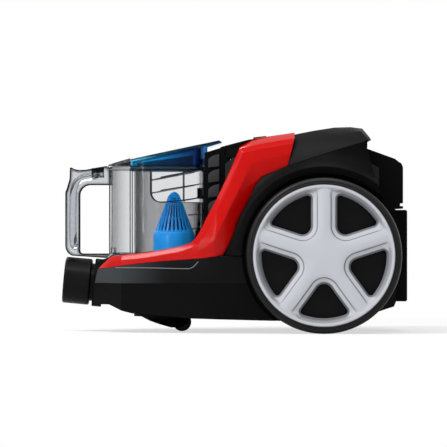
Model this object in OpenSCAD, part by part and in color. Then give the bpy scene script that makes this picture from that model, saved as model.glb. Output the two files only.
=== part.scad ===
// Canister vacuum cleaner: a bagless cleaner on two large wheels and a front caster.
// +X points to the rear, +Y to the right-hand wheel seen from behind, +Z up. Z = 0 is the floor.

/* [Layout] */
// From the caster pivot back to the wheel axle
wheelbase = 187; // [182:1:194]
// From the caster pivot forward to the nose of the chassis
nose_reach = 84; // [80:1:90]
// From the nose of the chassis forward to the lip of the hose collar
collar_reach = 39; // [36:1:44]
// From the wheel axle back to the face of the rear foot
rear_reach = 100; // [99:1:108]
// Overall width over the two wheels
track_w = 281; // [277:1:292]

/* [Wheels] */
// Outer diameter of the rear tyres
wheel_d = 182; // [176:1:186]
// Width of a rear tyre
tyre_w = 30; // [27:1:32]
// Radial thickness of a rear tyre
tyre_t = 8; // [6:0.5:10]
// Number of spokes of the wheel cap
spoke_count = 5; // [4:1:7]
// Width of a spoke of the wheel cap between two windows
spoke_w = 30; // [24:1:34]
// Radius of the round inner tip of a window
window_tip_r = 10; // [7:0.5:12]
// Width of the cap's rim outside the windows
cap_rim_w = 10; // [8:0.5:13]
// Depth of the cap
cap_depth = 7; // [5:0.5:9]
// Width of the bevel round a window
window_bevel = 4; // [2:0.5:5]
// Corner radius of a window
window_corner_r = 4; // [3:0.5:6]
// Diameter of the stub axles
axle_d = 10; // [8:1:12]

/* [Caster] */
// Diameter of the swivelling turntable
turntable_d = 64; // [60:1:66]
// Diameter of the caster wheel
caster_wheel_d = 22; // [20:1:24]
// Width of the caster wheel
caster_wheel_w = 13; // [10:1:16]
// From the pivot back to the caster wheel's axle
caster_trail = 20.5; // [19:0.5:21]
// Diameter of the caster's pivot post
pivot_d = 12; // [10:1:14]

/* [Body] */
// Height of the chassis flange above the floor
flange_z = 58; // [55:1:61]
// Underside of the chassis behind the caster
belly_z = 15; // [13:0.5:18]
// Underside of the chassis at the nose
nose_z = 33; // [31:1:36]
// Half width of the nose
nose_half_w = 42; // [38:1:46]
// Half width at the corner behind the nose
corner_half_w = 84; // [80:1:88]
// From the nose back to that corner
corner_back = 34; // [30:1:38]
// How far the body in front of the wheels stands out beyond the wells' walls
side_out = 10.5; // [7.5:0.5:11.5]
// Wall thickness of the chassis
chassis_wall = 3; // [2:0.5:4]
// Wall thickness of the outer panels
panel_t = 3; // [2:0.5:4]
// How far the upper body leans in per millimetre of height
lean = 0.17; // [0.1:0.01:0.2]
// Height where the body starts to lean in
lean_z = 110; // [100:1:120]
// Top of the bay floor that carries the dust container
bay_z = 89.7; // [88.2:0.5:91.2]
// Height of the deck's front edge
deck_front_z = 219; // [216:1:222]
// Height of the deck where it meets the hood
deck_rear_z = 233.3; // [231:0.5:236]
// Half width of the deck
deck_half_w = 78; // [72:1:80]
// From the wheel axle forward to the front edge of the hood
hood_lead = 33.5; // [30:0.5:36]
// Height of the top of the hood
hood_z = 241.5; // [239:0.5:244]

/* [Wheel arches] */
// Gap between the tyre and the arch lip
arch_gap = 4; // [3:0.5:6]
// Width of the arch lip seen from the side
lip_w = 11; // [8:0.5:12]
// How far the arch lip stands out from the well wall
lip_out = 17; // [14:1:20]
// Gap between the tyre and the well wall
well_gap = 3.5; // [3:0.5:5]

/* [Hose collar] */
// Outer diameter of the hose collar
collar_d = 55; // [52:1:58]
// Length of the hose collar
collar_l = 32; // [28:1:34]
// Bore that takes the hose end
hose_bore_d = 41; // [36:1:42]
// Depth of that bore
hose_bore_l = 30; // [26:1:31]
// Height of the collar's front face centre
collar_z = 61.6; // [60:0.5:63]
// Upward tilt of the collar's front
collar_tilt = 5.3; // [3:0.1:7]

/* [Dust container] */
// From the nose back to the container's front wall
bin_back = 17; // [15:1:20]
// Length of the container
bin_l = 115; // [112:1:118]
// Half width of the container
bin_half_w = 60; // [56:1:61]
// Height of the container
bin_h = 106.5; // [103:0.5:110]
// Wall thickness of the container
bin_wall = 2.5; // [2:0.1:3]
// Outer diameter of the inner cyclone wall
cyclone_d = 82; // [78:1:84]
// Base diameter of the cone
cone_d = 50; // [46:1:54]
// Height of the cone
cone_h = 74; // [70:1:78]
// Height of the cone's plain base
cone_base_h = 27; // [24:1:30]
// Number of fins round the cone
fin_count = 24; // [18:1:28]
// Width of the carrying handle
handle_w = 26; // [22:1:30]
// Reach of the carrying handle in front of the container
handle_reach = 51; // [48:1:52]
// Thickness of the handle's front bar
handle_bar = 16; // [14:1:18]
// Rise of the lid's top from front to rear
lid_rise = 23; // [20:0.5:25]

/* [Motor] */
// Share of the inner casing's width that the motor housing takes
motor_share = 0.534; // [0.5:0.002:0.54]
// Length of the motor housing
motor_housing_l = 108; // [102:1:110]
// How much slimmer the motor can is than its housing
can_room = 24; // [20:1:30]
// Length of the motor can
motor_can_l = 58; // [52:1:62]
// How much slimmer the fan cover is than the housing
cover_room = 10; // [9:1:16]
// Diameter of the motor shaft
motor_shaft_d = 8; // [6:1:10]

/* [Cord reel] */
// Diameter of the reel's flanges
reel_d = 124; // [116:1:126]
// Room between the reel and the wheel's axle
reel_room = 10.7; // [9:0.1:14]
// Diameter of the reel's hub
reel_hub_d = 60; // [54:1:70]
// Turns of the reel's flat mainspring
mainspring_turns = 7; // [5:1:9]

/* [Buttons] */
// Length of a top button along the body
button_l = 15; // [12:1:17]
// Width of a top button
button_w = 40; // [34:1:44]
// Travel of a top button
button_travel = 3; // [2:0.5:4]
// Diameter of the button springs
button_spring_d = 10; // [8:0.5:11]

/* [Exhaust] */
// Width of the exhaust grille
grille_w = 100; // [90:2:110]
// Height of the exhaust grille
grille_h = 34; // [30:1:36]
// Number of slots in the exhaust grille
slot_count = 7; // [5:1:9]
// Thickness of the exhaust filter
filter_t = 12; // [8:1:16]

/* [Fits] */
// Gap between neighbouring panels
seam = 0.4; // [0.3:0.1:0.6]
// Gap between parts that lie on each other
seat = 0.3; // [0.2:0.05:0.4]
// Radial clearance of running shafts
run_gap = 0.05; // [0.03:0.01:0.08]
// Gap round sliding buttons
slide_gap = 0.5; // [0.3:0.1:0.8]

/* [Hidden] */
$fn = 64;
eps = 0.01;
big = 500;

// Layout along the length: the origin is midway between the collar's lip and the rear foot.
overall_l = collar_reach + nose_reach + wheelbase + rear_reach;
wheel_x = overall_l / 2 - rear_reach;
wheel_r = wheel_d / 2;
caster_x = wheel_x - wheelbase;
nose_x = caster_x - nose_reach;
rear_x = overall_l / 2;
wheel_face_y = track_w / 2;
tyre_face_y = wheel_face_y - 1.5;
tyre_in_y = tyre_face_y - tyre_w;
well_y = tyre_in_y - well_gap;
arch_in_r = wheel_r + arch_gap;
arch_out_r = arch_in_r + lip_w;
lip_y = well_y + lip_out;
rim_r = wheel_r - tyre_t;
tower_t = 5;
well_t = 2.5;
tower_y = well_y - well_t - seat;
axle_in_y = tower_y - 12;
casing_half_w = tower_y - tower_t - seat;

// Plan of the body: half widths at points along the length.
side_half_w = well_y + side_out;
corner_x = nose_x + corner_back;
shoulder_x = caster_x + 62;
tail_x = rear_x - 14.4;
tail_half_w = 86;
plan = [
    [nose_x, nose_half_w], [corner_x, corner_half_w], [shoulder_x, side_half_w],
    [wheel_x, side_half_w], [wheel_x + 1, well_y], [tail_x - 20, well_y], [tail_x, tail_half_w]
];
function half_w(x) = lookup(x, plan);
function skin_y(x, z) = half_w(x) - max(0, z - lean_z) * lean;

// Dust container and bay.
bin_front_x = nose_x + bin_back;
bin_rear_x = bin_front_x + bin_l;
bin_z = bay_z + seat;
bin_top_z = bin_z + bin_h;
bin_nose_x = bin_front_x + bin_half_w;
bin_corner_r = 18;
cyclone_x = bin_rear_x - bin_wall - seat - cyclone_d / 2;
cone_x = bin_rear_x - 37;
casing_front_x = bin_rear_x + 24;
casing_rear_x = tail_x - 20;
casing_top_z = deck_front_z - 13;
bay_inset = 7;
louvre_front_x = bin_rear_x + 5;
louvre_top_z = casing_top_z + 5;

// Top deck and hood.
deck_front_x = bin_rear_x + 18;
crest_x = bin_rear_x + 41;
deck_kink_x = deck_front_x + 34;
deck_kink_z = deck_front_z + 8.3;
hood_x = wheel_x - hood_lead;
function deck_top(x) = lookup(x, [
    [deck_front_x, deck_front_z], [deck_kink_x, deck_kink_z], [hood_x, deck_rear_z]
]);
deck_t = 3;

// Side panel outline: lower edge points are [angle, gap beyond the arch lip] round the wheel axle.
panel_arch_edge = [
    [180, 11.6], [168.5, 3.3], [157, 2.2], [145.6, 2.6], [133.4, 9], [128, 11], [120, 8], [111.6, 7.2]
];
side_arch_edge = [[102, 7.4], [83.5, 18.1], [69.8, 36.7], [57.6, 5.5], [49.4, -5.2], [41.7, -12]];
function polar_xz(edge, inward) = [
    wheel_x + (arch_out_r + edge[1] - inward) * cos(edge[0]),
    wheel_r + (arch_out_r + edge[1] - inward) * sin(edge[0])
];
panel_low = [for (edge = panel_arch_edge) polar_xz(edge, 0)];
sill_z = bay_z;
flank = [
    [nose_x + 6.4, flange_z + 18, flange_z + 17], [nose_x + 21, sill_z - 0.3, flange_z + 19],
    [corner_x, sill_z + 1.6, flange_z + 20.9], [nose_x + 64, sill_z + 5, flange_z + 24.6],
    [nose_x + 94, sill_z + 10.2, flange_z + 27.4]
];
// Reach of the flange that takes the panel to the deck.
function to_deck(x, z) = skin_y(x, z) - deck_half_w - seam;
// Upper edge, lower edge and inner flange of the side panel, nose to hood.
panel_stations = concat(
    [for (f = flank) [[f[0], f[1]], [f[0], f[2]], 6, [0, 0]]],
    [
        [[bin_rear_x - 23, bay_z + 13.7], [bin_rear_x - 5, flange_z + 29.7], 6, [0, 0]],
        [[bin_rear_x - 13.6, bay_z + 18.4], mix(panel_low[0], [bin_rear_x - 5, flange_z + 29.7], 0.5), 7, [0, 0]],
        [[bin_rear_x - 5.4, bay_z + 30], panel_low[0], 8, [0, 0]],
        [[bin_rear_x + 3.9, bay_z + 48.7], panel_low[1], 10, [0, 0]],
        [[bin_rear_x + 12.1, bay_z + 62.7], panel_low[2], 11, [0, 0]],
        [[bin_rear_x + 20.2, bay_z + 82.6], panel_low[3], 12, [0, 0]],
        [[bin_rear_x + 27.3, bay_z + 95.4], mix(panel_low[3], panel_low[4], 0.6), 13, [0, 1]],
        [[bin_rear_x + 34.5, bay_z + 112], panel_low[4], 14, [0, 3]],
        [[crest_x, deck_front_z - 3.8], panel_low[5], to_deck(crest_x, deck_front_z - 3.8),
            [1, deck_top(crest_x) - deck_front_z + 3.5]],
        [[crest_x + 28, deck_front_z + 1.6], panel_low[6], to_deck(crest_x + 28, deck_front_z + 1.6),
            [0, deck_top(crest_x + 28) - deck_front_z - 1.9]],
        [[hood_x - 1, deck_rear_z - 7.3], panel_low[7], to_deck(hood_x, deck_rear_z - 7.3), [0.4, 7]]
    ]
);
function mix(a, b, t) = a + (b - a) * t;
function toward(a, b, d) = a + (b - a) * min(0.9, d / max(norm(b - a), eps));

// Closed solid through rings of equal point counts.
module loft(rings) {
    n = len(rings[0]);
    last = len(rings) - 1;
    points = [for (ring = rings) for (p = ring) p];
    sides = [
        for (i = [0:last - 1]) for (j = [0:n - 1]) for (half = [0, 1])
            let (a = i * n + j, b = i * n + (j + 1) % n)
            half == 0 ? [a, b, b + n] : [a, b + n, a + n]
    ];
    caps = [[for (j = [n - 1:-1:0]) j], [for (j = [0:n - 1]) last * n + j]];
    polyhedron(points = points, faces = concat(sides, caps), convexity = 8);
}

// Closed shell between an outer and an inner skin, each a list of open rows of points.
module loft_shell(outer, inner) {
    n = len(outer[0]);
    last = len(outer) - 1;
    far = n * len(outer);
    points = concat([for (row = outer) each row], [for (row = inner) each row]);
    function quad(a, b, c, d) = [[a, b, c], [a, c, d]];
    skins = [
        for (i = [0:last - 1]) for (j = [0:n - 2]) let (a = i * n + j)
            each concat(quad(a, a + n, a + n + 1, a + 1), quad(far + a, far + a + 1, far + a + n + 1, far + a + n))
    ];
    long_edges = [
        for (i = [0:last - 1]) let (a = i * n, b = i * n + n - 1)
            each concat(quad(a, far + a, far + a + n, a + n), quad(b, b + n, far + b + n, far + b))
    ];
    ends = [
        for (j = [0:n - 2]) let (b = last * n + j)
            each concat(quad(j, j + 1, far + j + 1, far + j), quad(b, far + b, far + b + 1, b + 1))
    ];
    polyhedron(points = points, faces = concat(skins, long_edges, ends), convexity = 8);
}

// Prism along Y of an outline in X and Z, between two Y values.
module prism_y(outline, y0, y1) {
    translate([0, y1, 0]) rotate([90, 0, 0]) linear_extrude(height = y1 - y0) polygon(outline);
}

// Tube or rod along Y between two Y values.
module rod_y(r, y0, y1, bore = 0) {
    translate([0, y1, 0]) rotate([90, 0, 0]) difference() {
        cylinder(r = r, h = y1 - y0);
        if (bore > 0) translate([0, 0, -1]) cylinder(r = bore, h = y1 - y0 + 2);
    }
}

module at_axle() { translate([wheel_x, 0, wheel_r]) children(); }

// Block centred on the mid-plane, with its half width along Y.
module bar(x, half, z, l, h) { translate([x, -half, z]) cube([l, 2 * half, h]); }

// The same on both sides of the mid-plane.
module both() {
    children();
    mirror([0, 1, 0]) children();
}

// Tube or rod along X between two X values.
module rod_x(r, x0, x1, bore = 0) {
    translate([x0, 0, 0]) rotate([0, 90, 0]) difference() {
        cylinder(r = r, h = x1 - x0);
        if (bore > 0) translate([0, 0, -1]) cylinder(r = bore, h = x1 - x0 + 2);
    }
}

// Body plan as a closed outline, moved inward by inset, between two X values.
function plan_outline(inset, x0, x1) = let (
    xs = concat([x0 + eps], [for (p = plan) if (p[0] > x0 + 1 && p[0] < x1 - 1) p[0]], [x1 - eps])
) concat(
    [for (x = xs) [x, half_w(x) - inset]],
    [for (i = [len(xs) - 1:-1:0]) [xs[i], inset - half_w(xs[i])]]
);
module plan_prism(inset, x0, x1, z0, z1) {
    translate([0, 0, z0]) linear_extrude(height = z1 - z0) polygon(plan_outline(inset, x0, x1));
}

// The room for both rear wheels.
module wheel_wells() { both() at_axle() rod_y(arch_in_r, well_y + well_t, big); }

/* ---- Chassis and inner frames ---- */

step_x = caster_x + 32;
belly_front = [
    [nose_x, nose_z + 3], [nose_x + 3, nose_z], [nose_x + 19, nose_z],
    [corner_x, nose_z - 7], [corner_x + 12, nose_z - 10]
];
belly_rear = [
    [wheel_x + 15, belly_z + 1], [tail_x - 26, belly_z + 9], [tail_x - 11, belly_z + 13.5],
    [tail_x - 2.4, belly_z + 16], [tail_x, belly_z + 21.5]
];
hull_side = concat(
    belly_front, [[step_x, belly_z + 2.3], [wheel_x - 45, belly_z - 0.6]], belly_rear,
    [[tail_x, flange_z], [nose_x, flange_z]]
);
hull_cavity = concat(
    [for (p = belly_front) [p[0] + chassis_wall, p[1] + chassis_wall]],
    [[step_x, belly_z + 2.3 + chassis_wall], [wheel_x - 45, belly_z - 0.6 + chassis_wall]],
    [for (p = belly_rear) [p[0] - chassis_wall, p[1] + chassis_wall]],
    [[tail_x - chassis_wall, flange_z - chassis_wall], [nose_x + chassis_wall, flange_z - chassis_wall]]
);
pocket_top_z = 27.3;
turntable_gap = 1.2;
axle_boss_r = axle_d / 2 + 8;
flange_inset = 22;

// Axis frame of the hose collar: local +X runs from the mouth into the body.
collar_face_x = -overall_l / 2 + collar_d / 2 * sin(collar_tilt);
module along_collar() {
    translate([collar_face_x, 0, collar_z]) rotate([0, collar_tilt, 0]) children();
}
spigot_r = collar_d / 2 - 5;
spigot_l = 12;
socket_from = collar_l + 3.6;
socket_r = collar_d / 2 + 1;

module hull_shell() {
    difference() {
        intersection() {
            prism_y(hull_side, -big, big);
            plan_prism(0, nose_x, tail_x, 0, flange_z);
        }
        intersection() {
            prism_y(hull_cavity, -big, big);
            difference() {
                plan_prism(chassis_wall, nose_x, tail_x, -1, flange_z + 1);
                both() at_axle() rod_y(arch_in_r + chassis_wall, well_y, big);
            }
        }
        plan_prism(flange_inset, nose_x, tail_x, flange_z - chassis_wall - 1, flange_z + 1);
        wheel_wells();
    }
}
rib_z = 30;
rib_t = 4;
foot_z0 = 36.5;
foot_half_w = 58;
gland_y = foot_half_w + 13;
gland_z = 44;
gland_r = 7;
module lower_chassis() {
    color([0.13, 0.13, 0.14]) difference() {
        union() {
            hull_shell();
            translate([caster_x, 0, belly_z + 3])
                cylinder(d = turntable_d + 10, h = pocket_top_z + chassis_wall - belly_z - 3);
            translate([caster_x, 0, pocket_top_z]) cylinder(d = pivot_d + 10, h = 24);
            along_collar() rod_x(socket_r, socket_from, socket_from + 11);
            both() {
                intersection() {
                    prism_y([
                        [wheel_x - 42, belly_z + 2], [wheel_x + 42, belly_z + 4],
                        [wheel_x + 18, wheel_r + 22], [wheel_x - 18, wheel_r + 22]
                    ], tower_y - tower_t, tower_y);
                    plan_prism(0, nose_x, tail_x, 0, big);
                }
                at_axle() rod_y(axle_boss_r, axle_in_y, well_y + well_t);
            }
            for (x = [motor_foot_x(0), motor_foot_x(1)])
                bar(x - rib_t, well_y - 2, belly_z + 1, 2 * rib_t, rib_z - belly_z - 1);
            translate([casing_front_x - 2, -half_w(casing_front_x) + 2, belly_z + 2])
                cube([4, 2 * half_w(casing_front_x) - 4, flange_z - belly_z - 2]);
        }
        translate([caster_x, 0, -1]) cylinder(d = turntable_d + 2 * turntable_gap, h = pocket_top_z + 1);
        translate([caster_x, 0, 0]) cylinder(r = pivot_d / 2 + run_gap, h = 48);
        both() at_axle() rod_y(axle_d / 2 + run_gap, axle_in_y - 1, well_y + 4);
        along_collar() rod_x(spigot_r + seat, collar_l, collar_l + 24);
        translate([0, gland_y, gland_z]) rod_x(gland_r + seat, tail_x - 8, tail_x + 5);
    }
}

module bay_floor() {
    color([0.17, 0.17, 0.18]) difference() {
        intersection() {
            plan_prism(bay_inset, nose_x + bay_inset, casing_front_x - 2.4, flange_z + seat, bay_z);
            prism_y([
                [nose_x, flange_z], [nose_x, bay_z - 7], [bin_front_x - 1.5, bay_z - 2.2], [bin_front_x + 3, bay_z],
                [casing_front_x, bay_z], [casing_front_x, flange_z]
            ], -big, big);
        }
        plan_prism(bay_inset + 2.5, nose_x + bay_inset + 2.5, casing_front_x - 5, flange_z - 1, bay_z - 3);
        along_collar() rod_x(socket_r + 1, collar_l, collar_l + 40);
        bar(port_x - seal_w - seat, port_w / 2 + seal_w + seat, bay_z - 4, port_l + 2 * (seal_w + seat), 6);
    }
}

casing_side = [
    [casing_front_x, flange_z + seat], [casing_front_x, casing_top_z - 8],
    [casing_front_x + 9, casing_top_z], [casing_rear_x - 20, casing_top_z],
    [casing_rear_x, casing_top_z - 12], [casing_rear_x, flange_z + seat]
];
casing_t = 2.5;
casing_cavity = [
    [casing_front_x + casing_t, flange_z - 1], [casing_front_x + casing_t, casing_top_z - 8 - casing_t * 0.4],
    [casing_front_x + 9 + casing_t * 0.4, casing_top_z - casing_t],
    [casing_rear_x - 20 - casing_t * 0.2, casing_top_z - casing_t],
    [casing_rear_x - casing_t, casing_top_z - 12 - casing_t * 0.7], [casing_rear_x - casing_t, flange_z - 1]
];
module casing_block(outline, w, x0, x1) {
    intersection() {
        prism_y(outline, -big, big);
        translate([x0, 0, 0]) rotate([90, 0, 90]) linear_extrude(height = x1 - x0) polygon([
            [-w, 0], [w, 0], [w, casing_top_z - 50], [w - 16, casing_top_z + 2],
            [16 - w, casing_top_z + 2], [-w, casing_top_z - 50]
        ]);
    }
}
// The slot that leads the cleaned air from the lid through the bay's rear wall.
air_port_w = 40;
air_port_h = 7;
module air_port() {
    bar(bin_rear_x - 12, air_port_w / 2, lid_z + 2, 50, air_port_h);
}
module inner_casing() {
    color([0.2, 0.2, 0.21]) difference() {
        union() {
            casing_block(casing_side, casing_half_w, casing_front_x, casing_rear_x);
            translate([button_x, button_y, casing_top_z - 1]) cylinder(r = spring_seat_r, h = spring_seat_z - casing_top_z + 1);
        }
        casing_block(casing_cavity, casing_half_w - casing_t, casing_front_x + casing_t, casing_rear_x - casing_t);
        both() {
            at_axle() rod_y(axle_boss_r + 1, casing_half_w - 5, casing_half_w + 5);
            for (a = screw_angles) at_screw(a) rod_y(screw_r + run_gap, casing_half_w - 5, casing_half_w + 5);
            translate([button_x, button_y, casing_top_z - 5]) cylinder(r = stem_hole_r, h = 10);
        }
        for (i = [-1:1]) translate([casing_rear_x - 5, i * grille_w / 3.4 - grille_w / 8, grille_z + 4])
            cube([10, grille_w / 4, grille_h - 8]);
        air_port();
    }
}

/* ---- Outer panels ---- */

module right_rail() {
    rail_top = concat(
        [for (f = flank) [f[0], f[2] - seam]],
        [[bin_rear_x - 5, flange_z + 29.7 - seam], [panel_low[0][0], panel_low[0][1] - seam - 0.4],
        [wheel_x, panel_low[0][1] - seam - 0.4]]
    );
    color([0.3, 0.31, 0.32]) difference() {
        intersection() {
            prism_y(concat(
                [[nose_x + 1.5, flange_z + seat], [nose_x + 5, flange_z + 16]], rail_top,
                [[wheel_x, flange_z + seat]]
            ), 1, big);
            difference() {
                plan_prism(0, nose_x, wheel_x, 0, big);
                plan_prism(panel_t + 1, nose_x - 5, wheel_x + 5, -1, big + 1);
            }
        }
        wheel_wells();
    }
}
module left_rail() { mirror([0, 1, 0]) right_rail(); }

panel_bevel = 6;
bevel_in = 3.5;
// Rows across the left side panel: outer face, bevel and inner flange, then the inside.
function panel_outer(station) = let (
    up = station[0],
    low = station[1],
    crease = toward(up, low, panel_bevel),
    y_up = skin_y(up[0], up[1])
) [
    [up[0] + station[3][0], station[2] - y_up, up[1] + station[3][1]],
    [up[0], bevel_in - y_up, up[1]],
    [crease[0], -skin_y(crease[0], crease[1]), crease[1]],
    [low[0], -skin_y(low[0], low[1]), low[1]]
];
function panel_inner(station) = let (
    up = toward(station[0], station[1], panel_t),
    low = station[1],
    crease = toward(station[0], low, panel_bevel),
    y_up = skin_y(station[0][0], station[0][1])
) [
    [up[0] + station[3][0], station[2] - y_up, up[1] + station[3][1]],
    [up[0], bevel_in + panel_t * 0.8 - y_up, up[1]],
    [crease[0], panel_t - skin_y(crease[0], crease[1]), crease[1]],
    [low[0], panel_t - skin_y(low[0], low[1]), low[1]]
];
function reversed(list) = [for (i = [len(list) - 1:-1:0]) list[i]];
module left_side_panel() {
    color([0.78, 0.1, 0.09]) loft_shell(
        [for (s = panel_stations) panel_outer(s)],
        [for (s = panel_stations) panel_inner(s)]
    );
}
module right_side_panel() { mirror([0, 1, 0]) left_side_panel(); }

screw_r = 2;
screw_head_r = 4;
screw_orbit_r = 60;
screw_angles = [30, 90, 150];
module at_screw(a) {
    translate([wheel_x + screw_orbit_r * cos(a), 0, wheel_r + screw_orbit_r * sin(a)]) children();
}

// Arch profile in radius and distance from the mid-plane: lip, flare and skin.
arch_profile = [
    [arch_in_r, well_y], [arch_in_r, lip_y - 1], [arch_in_r + 2.5, lip_y], [arch_out_r - 2, lip_y - 0.5],
    [arch_out_r, lip_y - 3], [arch_out_r + 3, lip_y - 9], [arch_out_r + 8, well_y + 4],
    [arch_out_r + 16, well_y], [arch_out_r + 28, well_y - 3.5], [arch_out_r + 46, well_y - 7],
    [arch_out_r + 46, well_y - 9.5], [arch_out_r + 28, well_y - 6], [arch_out_r + 16, well_y - 2.5],
    [arch_out_r + 7, well_y]
];
// The room under the skin, which the panel's walls fill up to the skin.
under_skin = concat([[1, 0], [1, well_y + 1], [arch_in_r + 1, well_y + 1]], [
    [arch_out_r + 7, well_y + 1], [arch_out_r + 16, well_y - 1], [arch_out_r + 28, well_y - 5],
    [arch_out_r + 45, well_y - 8.5], [arch_out_r + 45, 0]
]);
return_y = casing_half_w + seat;
edge_wall_t = 2.5;
// Outline of the panel, drawn in from the neighbouring panels.
function arch_region(inward) = concat(
    [for (edge = concat(panel_arch_edge, side_arch_edge)) polar_xz(edge, inward)],
    [[wheel_x, wheel_r + eps]]
);
module around_wheel() { at_axle() rotate([-90, 0, 0]) rotate_extrude($fn = 128) children(); }
// Walls from the panel's edge inward, under its neighbours and behind the casing.
module arch_walls() {
    intersection() {
        around_wheel() polygon(under_skin);
        difference() {
            prism_y(arch_region(seam), housing_half_w + seam, big);
            prism_y(arch_region(seam + edge_wall_t), 1, big);
            bar(wheel_x - big, return_y, 0, big, big);
            translate([seat, 0, seat]) casing_block(casing_side, return_y, casing_front_x, casing_rear_x);
        }
    }
    translate([casing_rear_x - edge_wall_t, return_y, flange_z + seat])
        cube([edge_wall_t, well_y + 1 - return_y, polar_xz(side_arch_edge[5], 0)[1] - flange_z]);
}
module right_arch_panel() {
    color([0.22, 0.22, 0.23]) difference() {
        union() {
            intersection() {
                around_wheel() polygon(arch_profile);
                prism_y(arch_region(seam), 1, big);
            }
            arch_walls();
            intersection() {
                at_axle() rod_y(arch_in_r + 2, well_y, well_y + well_t);
                bar(wheel_x - big, big, wheel_r + eps, 2 * big, big);
            }
            intersection() {
                at_axle() rod_y(arch_in_r - seat, well_y, well_y + well_t);
                bar(wheel_x - big, big, flange_z + seat, 2 * big, wheel_r - flange_z + 1);
            }
        }
        at_axle() rod_y(axle_boss_r + seat, 1, big);
        for (a = screw_angles) at_screw(a) rod_y(screw_r + run_gap + 0.5, 1, big);
    }
}
module left_arch_panel() { mirror([0, 1, 0]) right_arch_panel(); }

module panel_screws() {
    head_y = well_y + well_t + seat;
    color([0.6, 0.6, 0.62]) both() for (a = screw_angles) at_screw(a) {
        rod_y(screw_r, casing_half_w - 6, head_y);
        rod_y(screw_head_r, head_y, head_y + 0.8);
    }
}

housing_half_w = 72;
housing_step_z = 146;
housing_front_x = casing_rear_x + seat;
housing_rear_x = rear_x - 5.5;
exhaust_z = 177;
grille_z = exhaust_z - grille_h / 2;
housing_side = [
    [housing_front_x, flange_z + seat], [housing_front_x, casing_top_z - 11], [housing_front_x - 20, casing_top_z + 1],
    [housing_front_x - 20, casing_top_z + 13], [housing_front_x + 19, 204.8],
    [housing_rear_x - 6, 202], [housing_rear_x - 1.6, 199], [housing_rear_x, 194.8],
    [housing_rear_x, 152.4], [housing_rear_x - 3.5, 152.4], [housing_rear_x - 3.5, housing_step_z + 3],
    [housing_rear_x, housing_step_z + 3], [housing_rear_x, housing_step_z],
    [tail_x, housing_step_z], [tail_x, flange_z + seat]
];
housing_cavity = [
    [housing_front_x - 1, flange_z - 1], [housing_front_x - 1, casing_top_z - 15], [housing_front_x - 21, casing_top_z - 3],
    [housing_front_x - 21, casing_top_z + 9.8], [housing_front_x + 18, 201.3],
    [housing_rear_x - 7, 198], [housing_rear_x - 3, 194], [housing_rear_x - 3, 157],
    [housing_rear_x - 7, 155], [housing_rear_x - 7, housing_step_z + 3],
    [tail_x - 3, housing_step_z + 3], [tail_x - 3, flange_z - 1]
];

// Hood stations: x and z of the top, the crease and the edge, then half widths of top and crease.
hood_end_x = wheel_x + 56;
hood_low = [for (edge = [panel_arch_edge[7], side_arch_edge[0], side_arch_edge[1], side_arch_edge[2]]) polar_xz(edge, 0)];
hood_stations = [
    [hood_x + seam, deck_rear_z, hood_x + seam - 1, hood_z - 21.5, hood_low[0][0] + seam, hood_low[0][1], 76, 92],
    [hood_x + 23, hood_z - 3.7, hood_x + 24, hood_z - 16.5, hood_low[1][0], hood_low[1][1], 75, 91],
    [hood_x + 47, hood_z, hood_x + 47, hood_z - 11, hood_low[2][0], hood_low[2][1], 74, 90],
    [hood_x + 66, hood_z + 0.6, hood_x + 64, hood_z - 6.5, mix(hood_low[2], hood_low[3], 0.6)[0],
        mix(hood_low[2], hood_low[3], 0.6)[1], 72, 88],
    [hood_x + 80, hood_z - 1.1, hood_x + 78, hood_z - 5, hood_low[3][0] - 2, hood_low[3][1] - 0.7, 70, 86],
    [hood_end_x - 3, hood_z - 8.5, hood_end_x - 3, hood_z - 10.5, hood_end_x - 3, hood_z - 14.8, 67, 83],
    [hood_end_x, hood_z - 12.2, hood_end_x, hood_z - 13.2, hood_end_x, hood_z - 15.8, 65, 81]
];
function hood_half(s) = [
    [s[4], skin_y(min(s[4], wheel_x), s[5]) - (s[0] > wheel_x + 40 ? (s[0] - wheel_x - 40) * 0.3 : 0), s[5]],
    [s[2], s[7], s[3]],
    [s[0], s[6], s[1]]
];
function hood_inner(s) = let (
    h = hood_half(s),
    thin = min(panel_t, s[1] - s[5] - 0.4)
) [
    [h[0][0], h[0][1] - panel_t, h[0][2]],
    [h[1][0], h[1][1] - panel_t, h[1][2] - thin * 0.5],
    [h[2][0], h[2][1] - panel_t * 0.6, h[2][2] - thin]
];
function both_sides(half) = concat([for (p = half) [p[0], -p[1], p[2]]], reversed(half));
// The hood's back wall stands on the rear housing.
hood_back_x = hood_end_x - 6;
hood_back_t = 2.5;
hood_back_z = lookup(hood_back_x, [housing_side[3], housing_side[4]]) + seam;
module rear_hood() {
    color([0.36, 0.37, 0.38]) union() {
        loft_shell(
            [for (s = hood_stations) reversed(both_sides(hood_half(s)))],
            [for (s = hood_stations) reversed(both_sides(hood_inner(s)))]
        );
        intersection() {
            loft([for (s = hood_stations) both_sides((hood_half(s) + hood_inner(s)) / 2)]);
            bar(hood_back_x, big, 0, hood_back_t, big);
        }
        bar(hood_back_x, housing_half_w, hood_back_z, hood_back_t, hood_z - 12 - hood_back_z);
    }
}

button_x = deck_front_x + 47;
button_y = 28;
deck_tilt = atan2(deck_rear_z - deck_kink_z, hood_x - deck_kink_x);
deck_post_x = [deck_front_x + 26, hood_x - 12];
deck_post_y = 58;
deck_edge = [[0, 26], [6, 12], [26, 0]];
function deck_plan(inset) = concat(
    [for (p = deck_edge) [deck_front_x + p[0] + inset, p[1] + inset - deck_half_w]],
    [[hood_x, inset - deck_half_w], [hood_x, deck_half_w - inset]],
    [for (p = reversed(deck_edge)) [deck_front_x + p[0] + inset, deck_half_w - p[1] - inset]]
);
skirt_t = 2;
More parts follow.
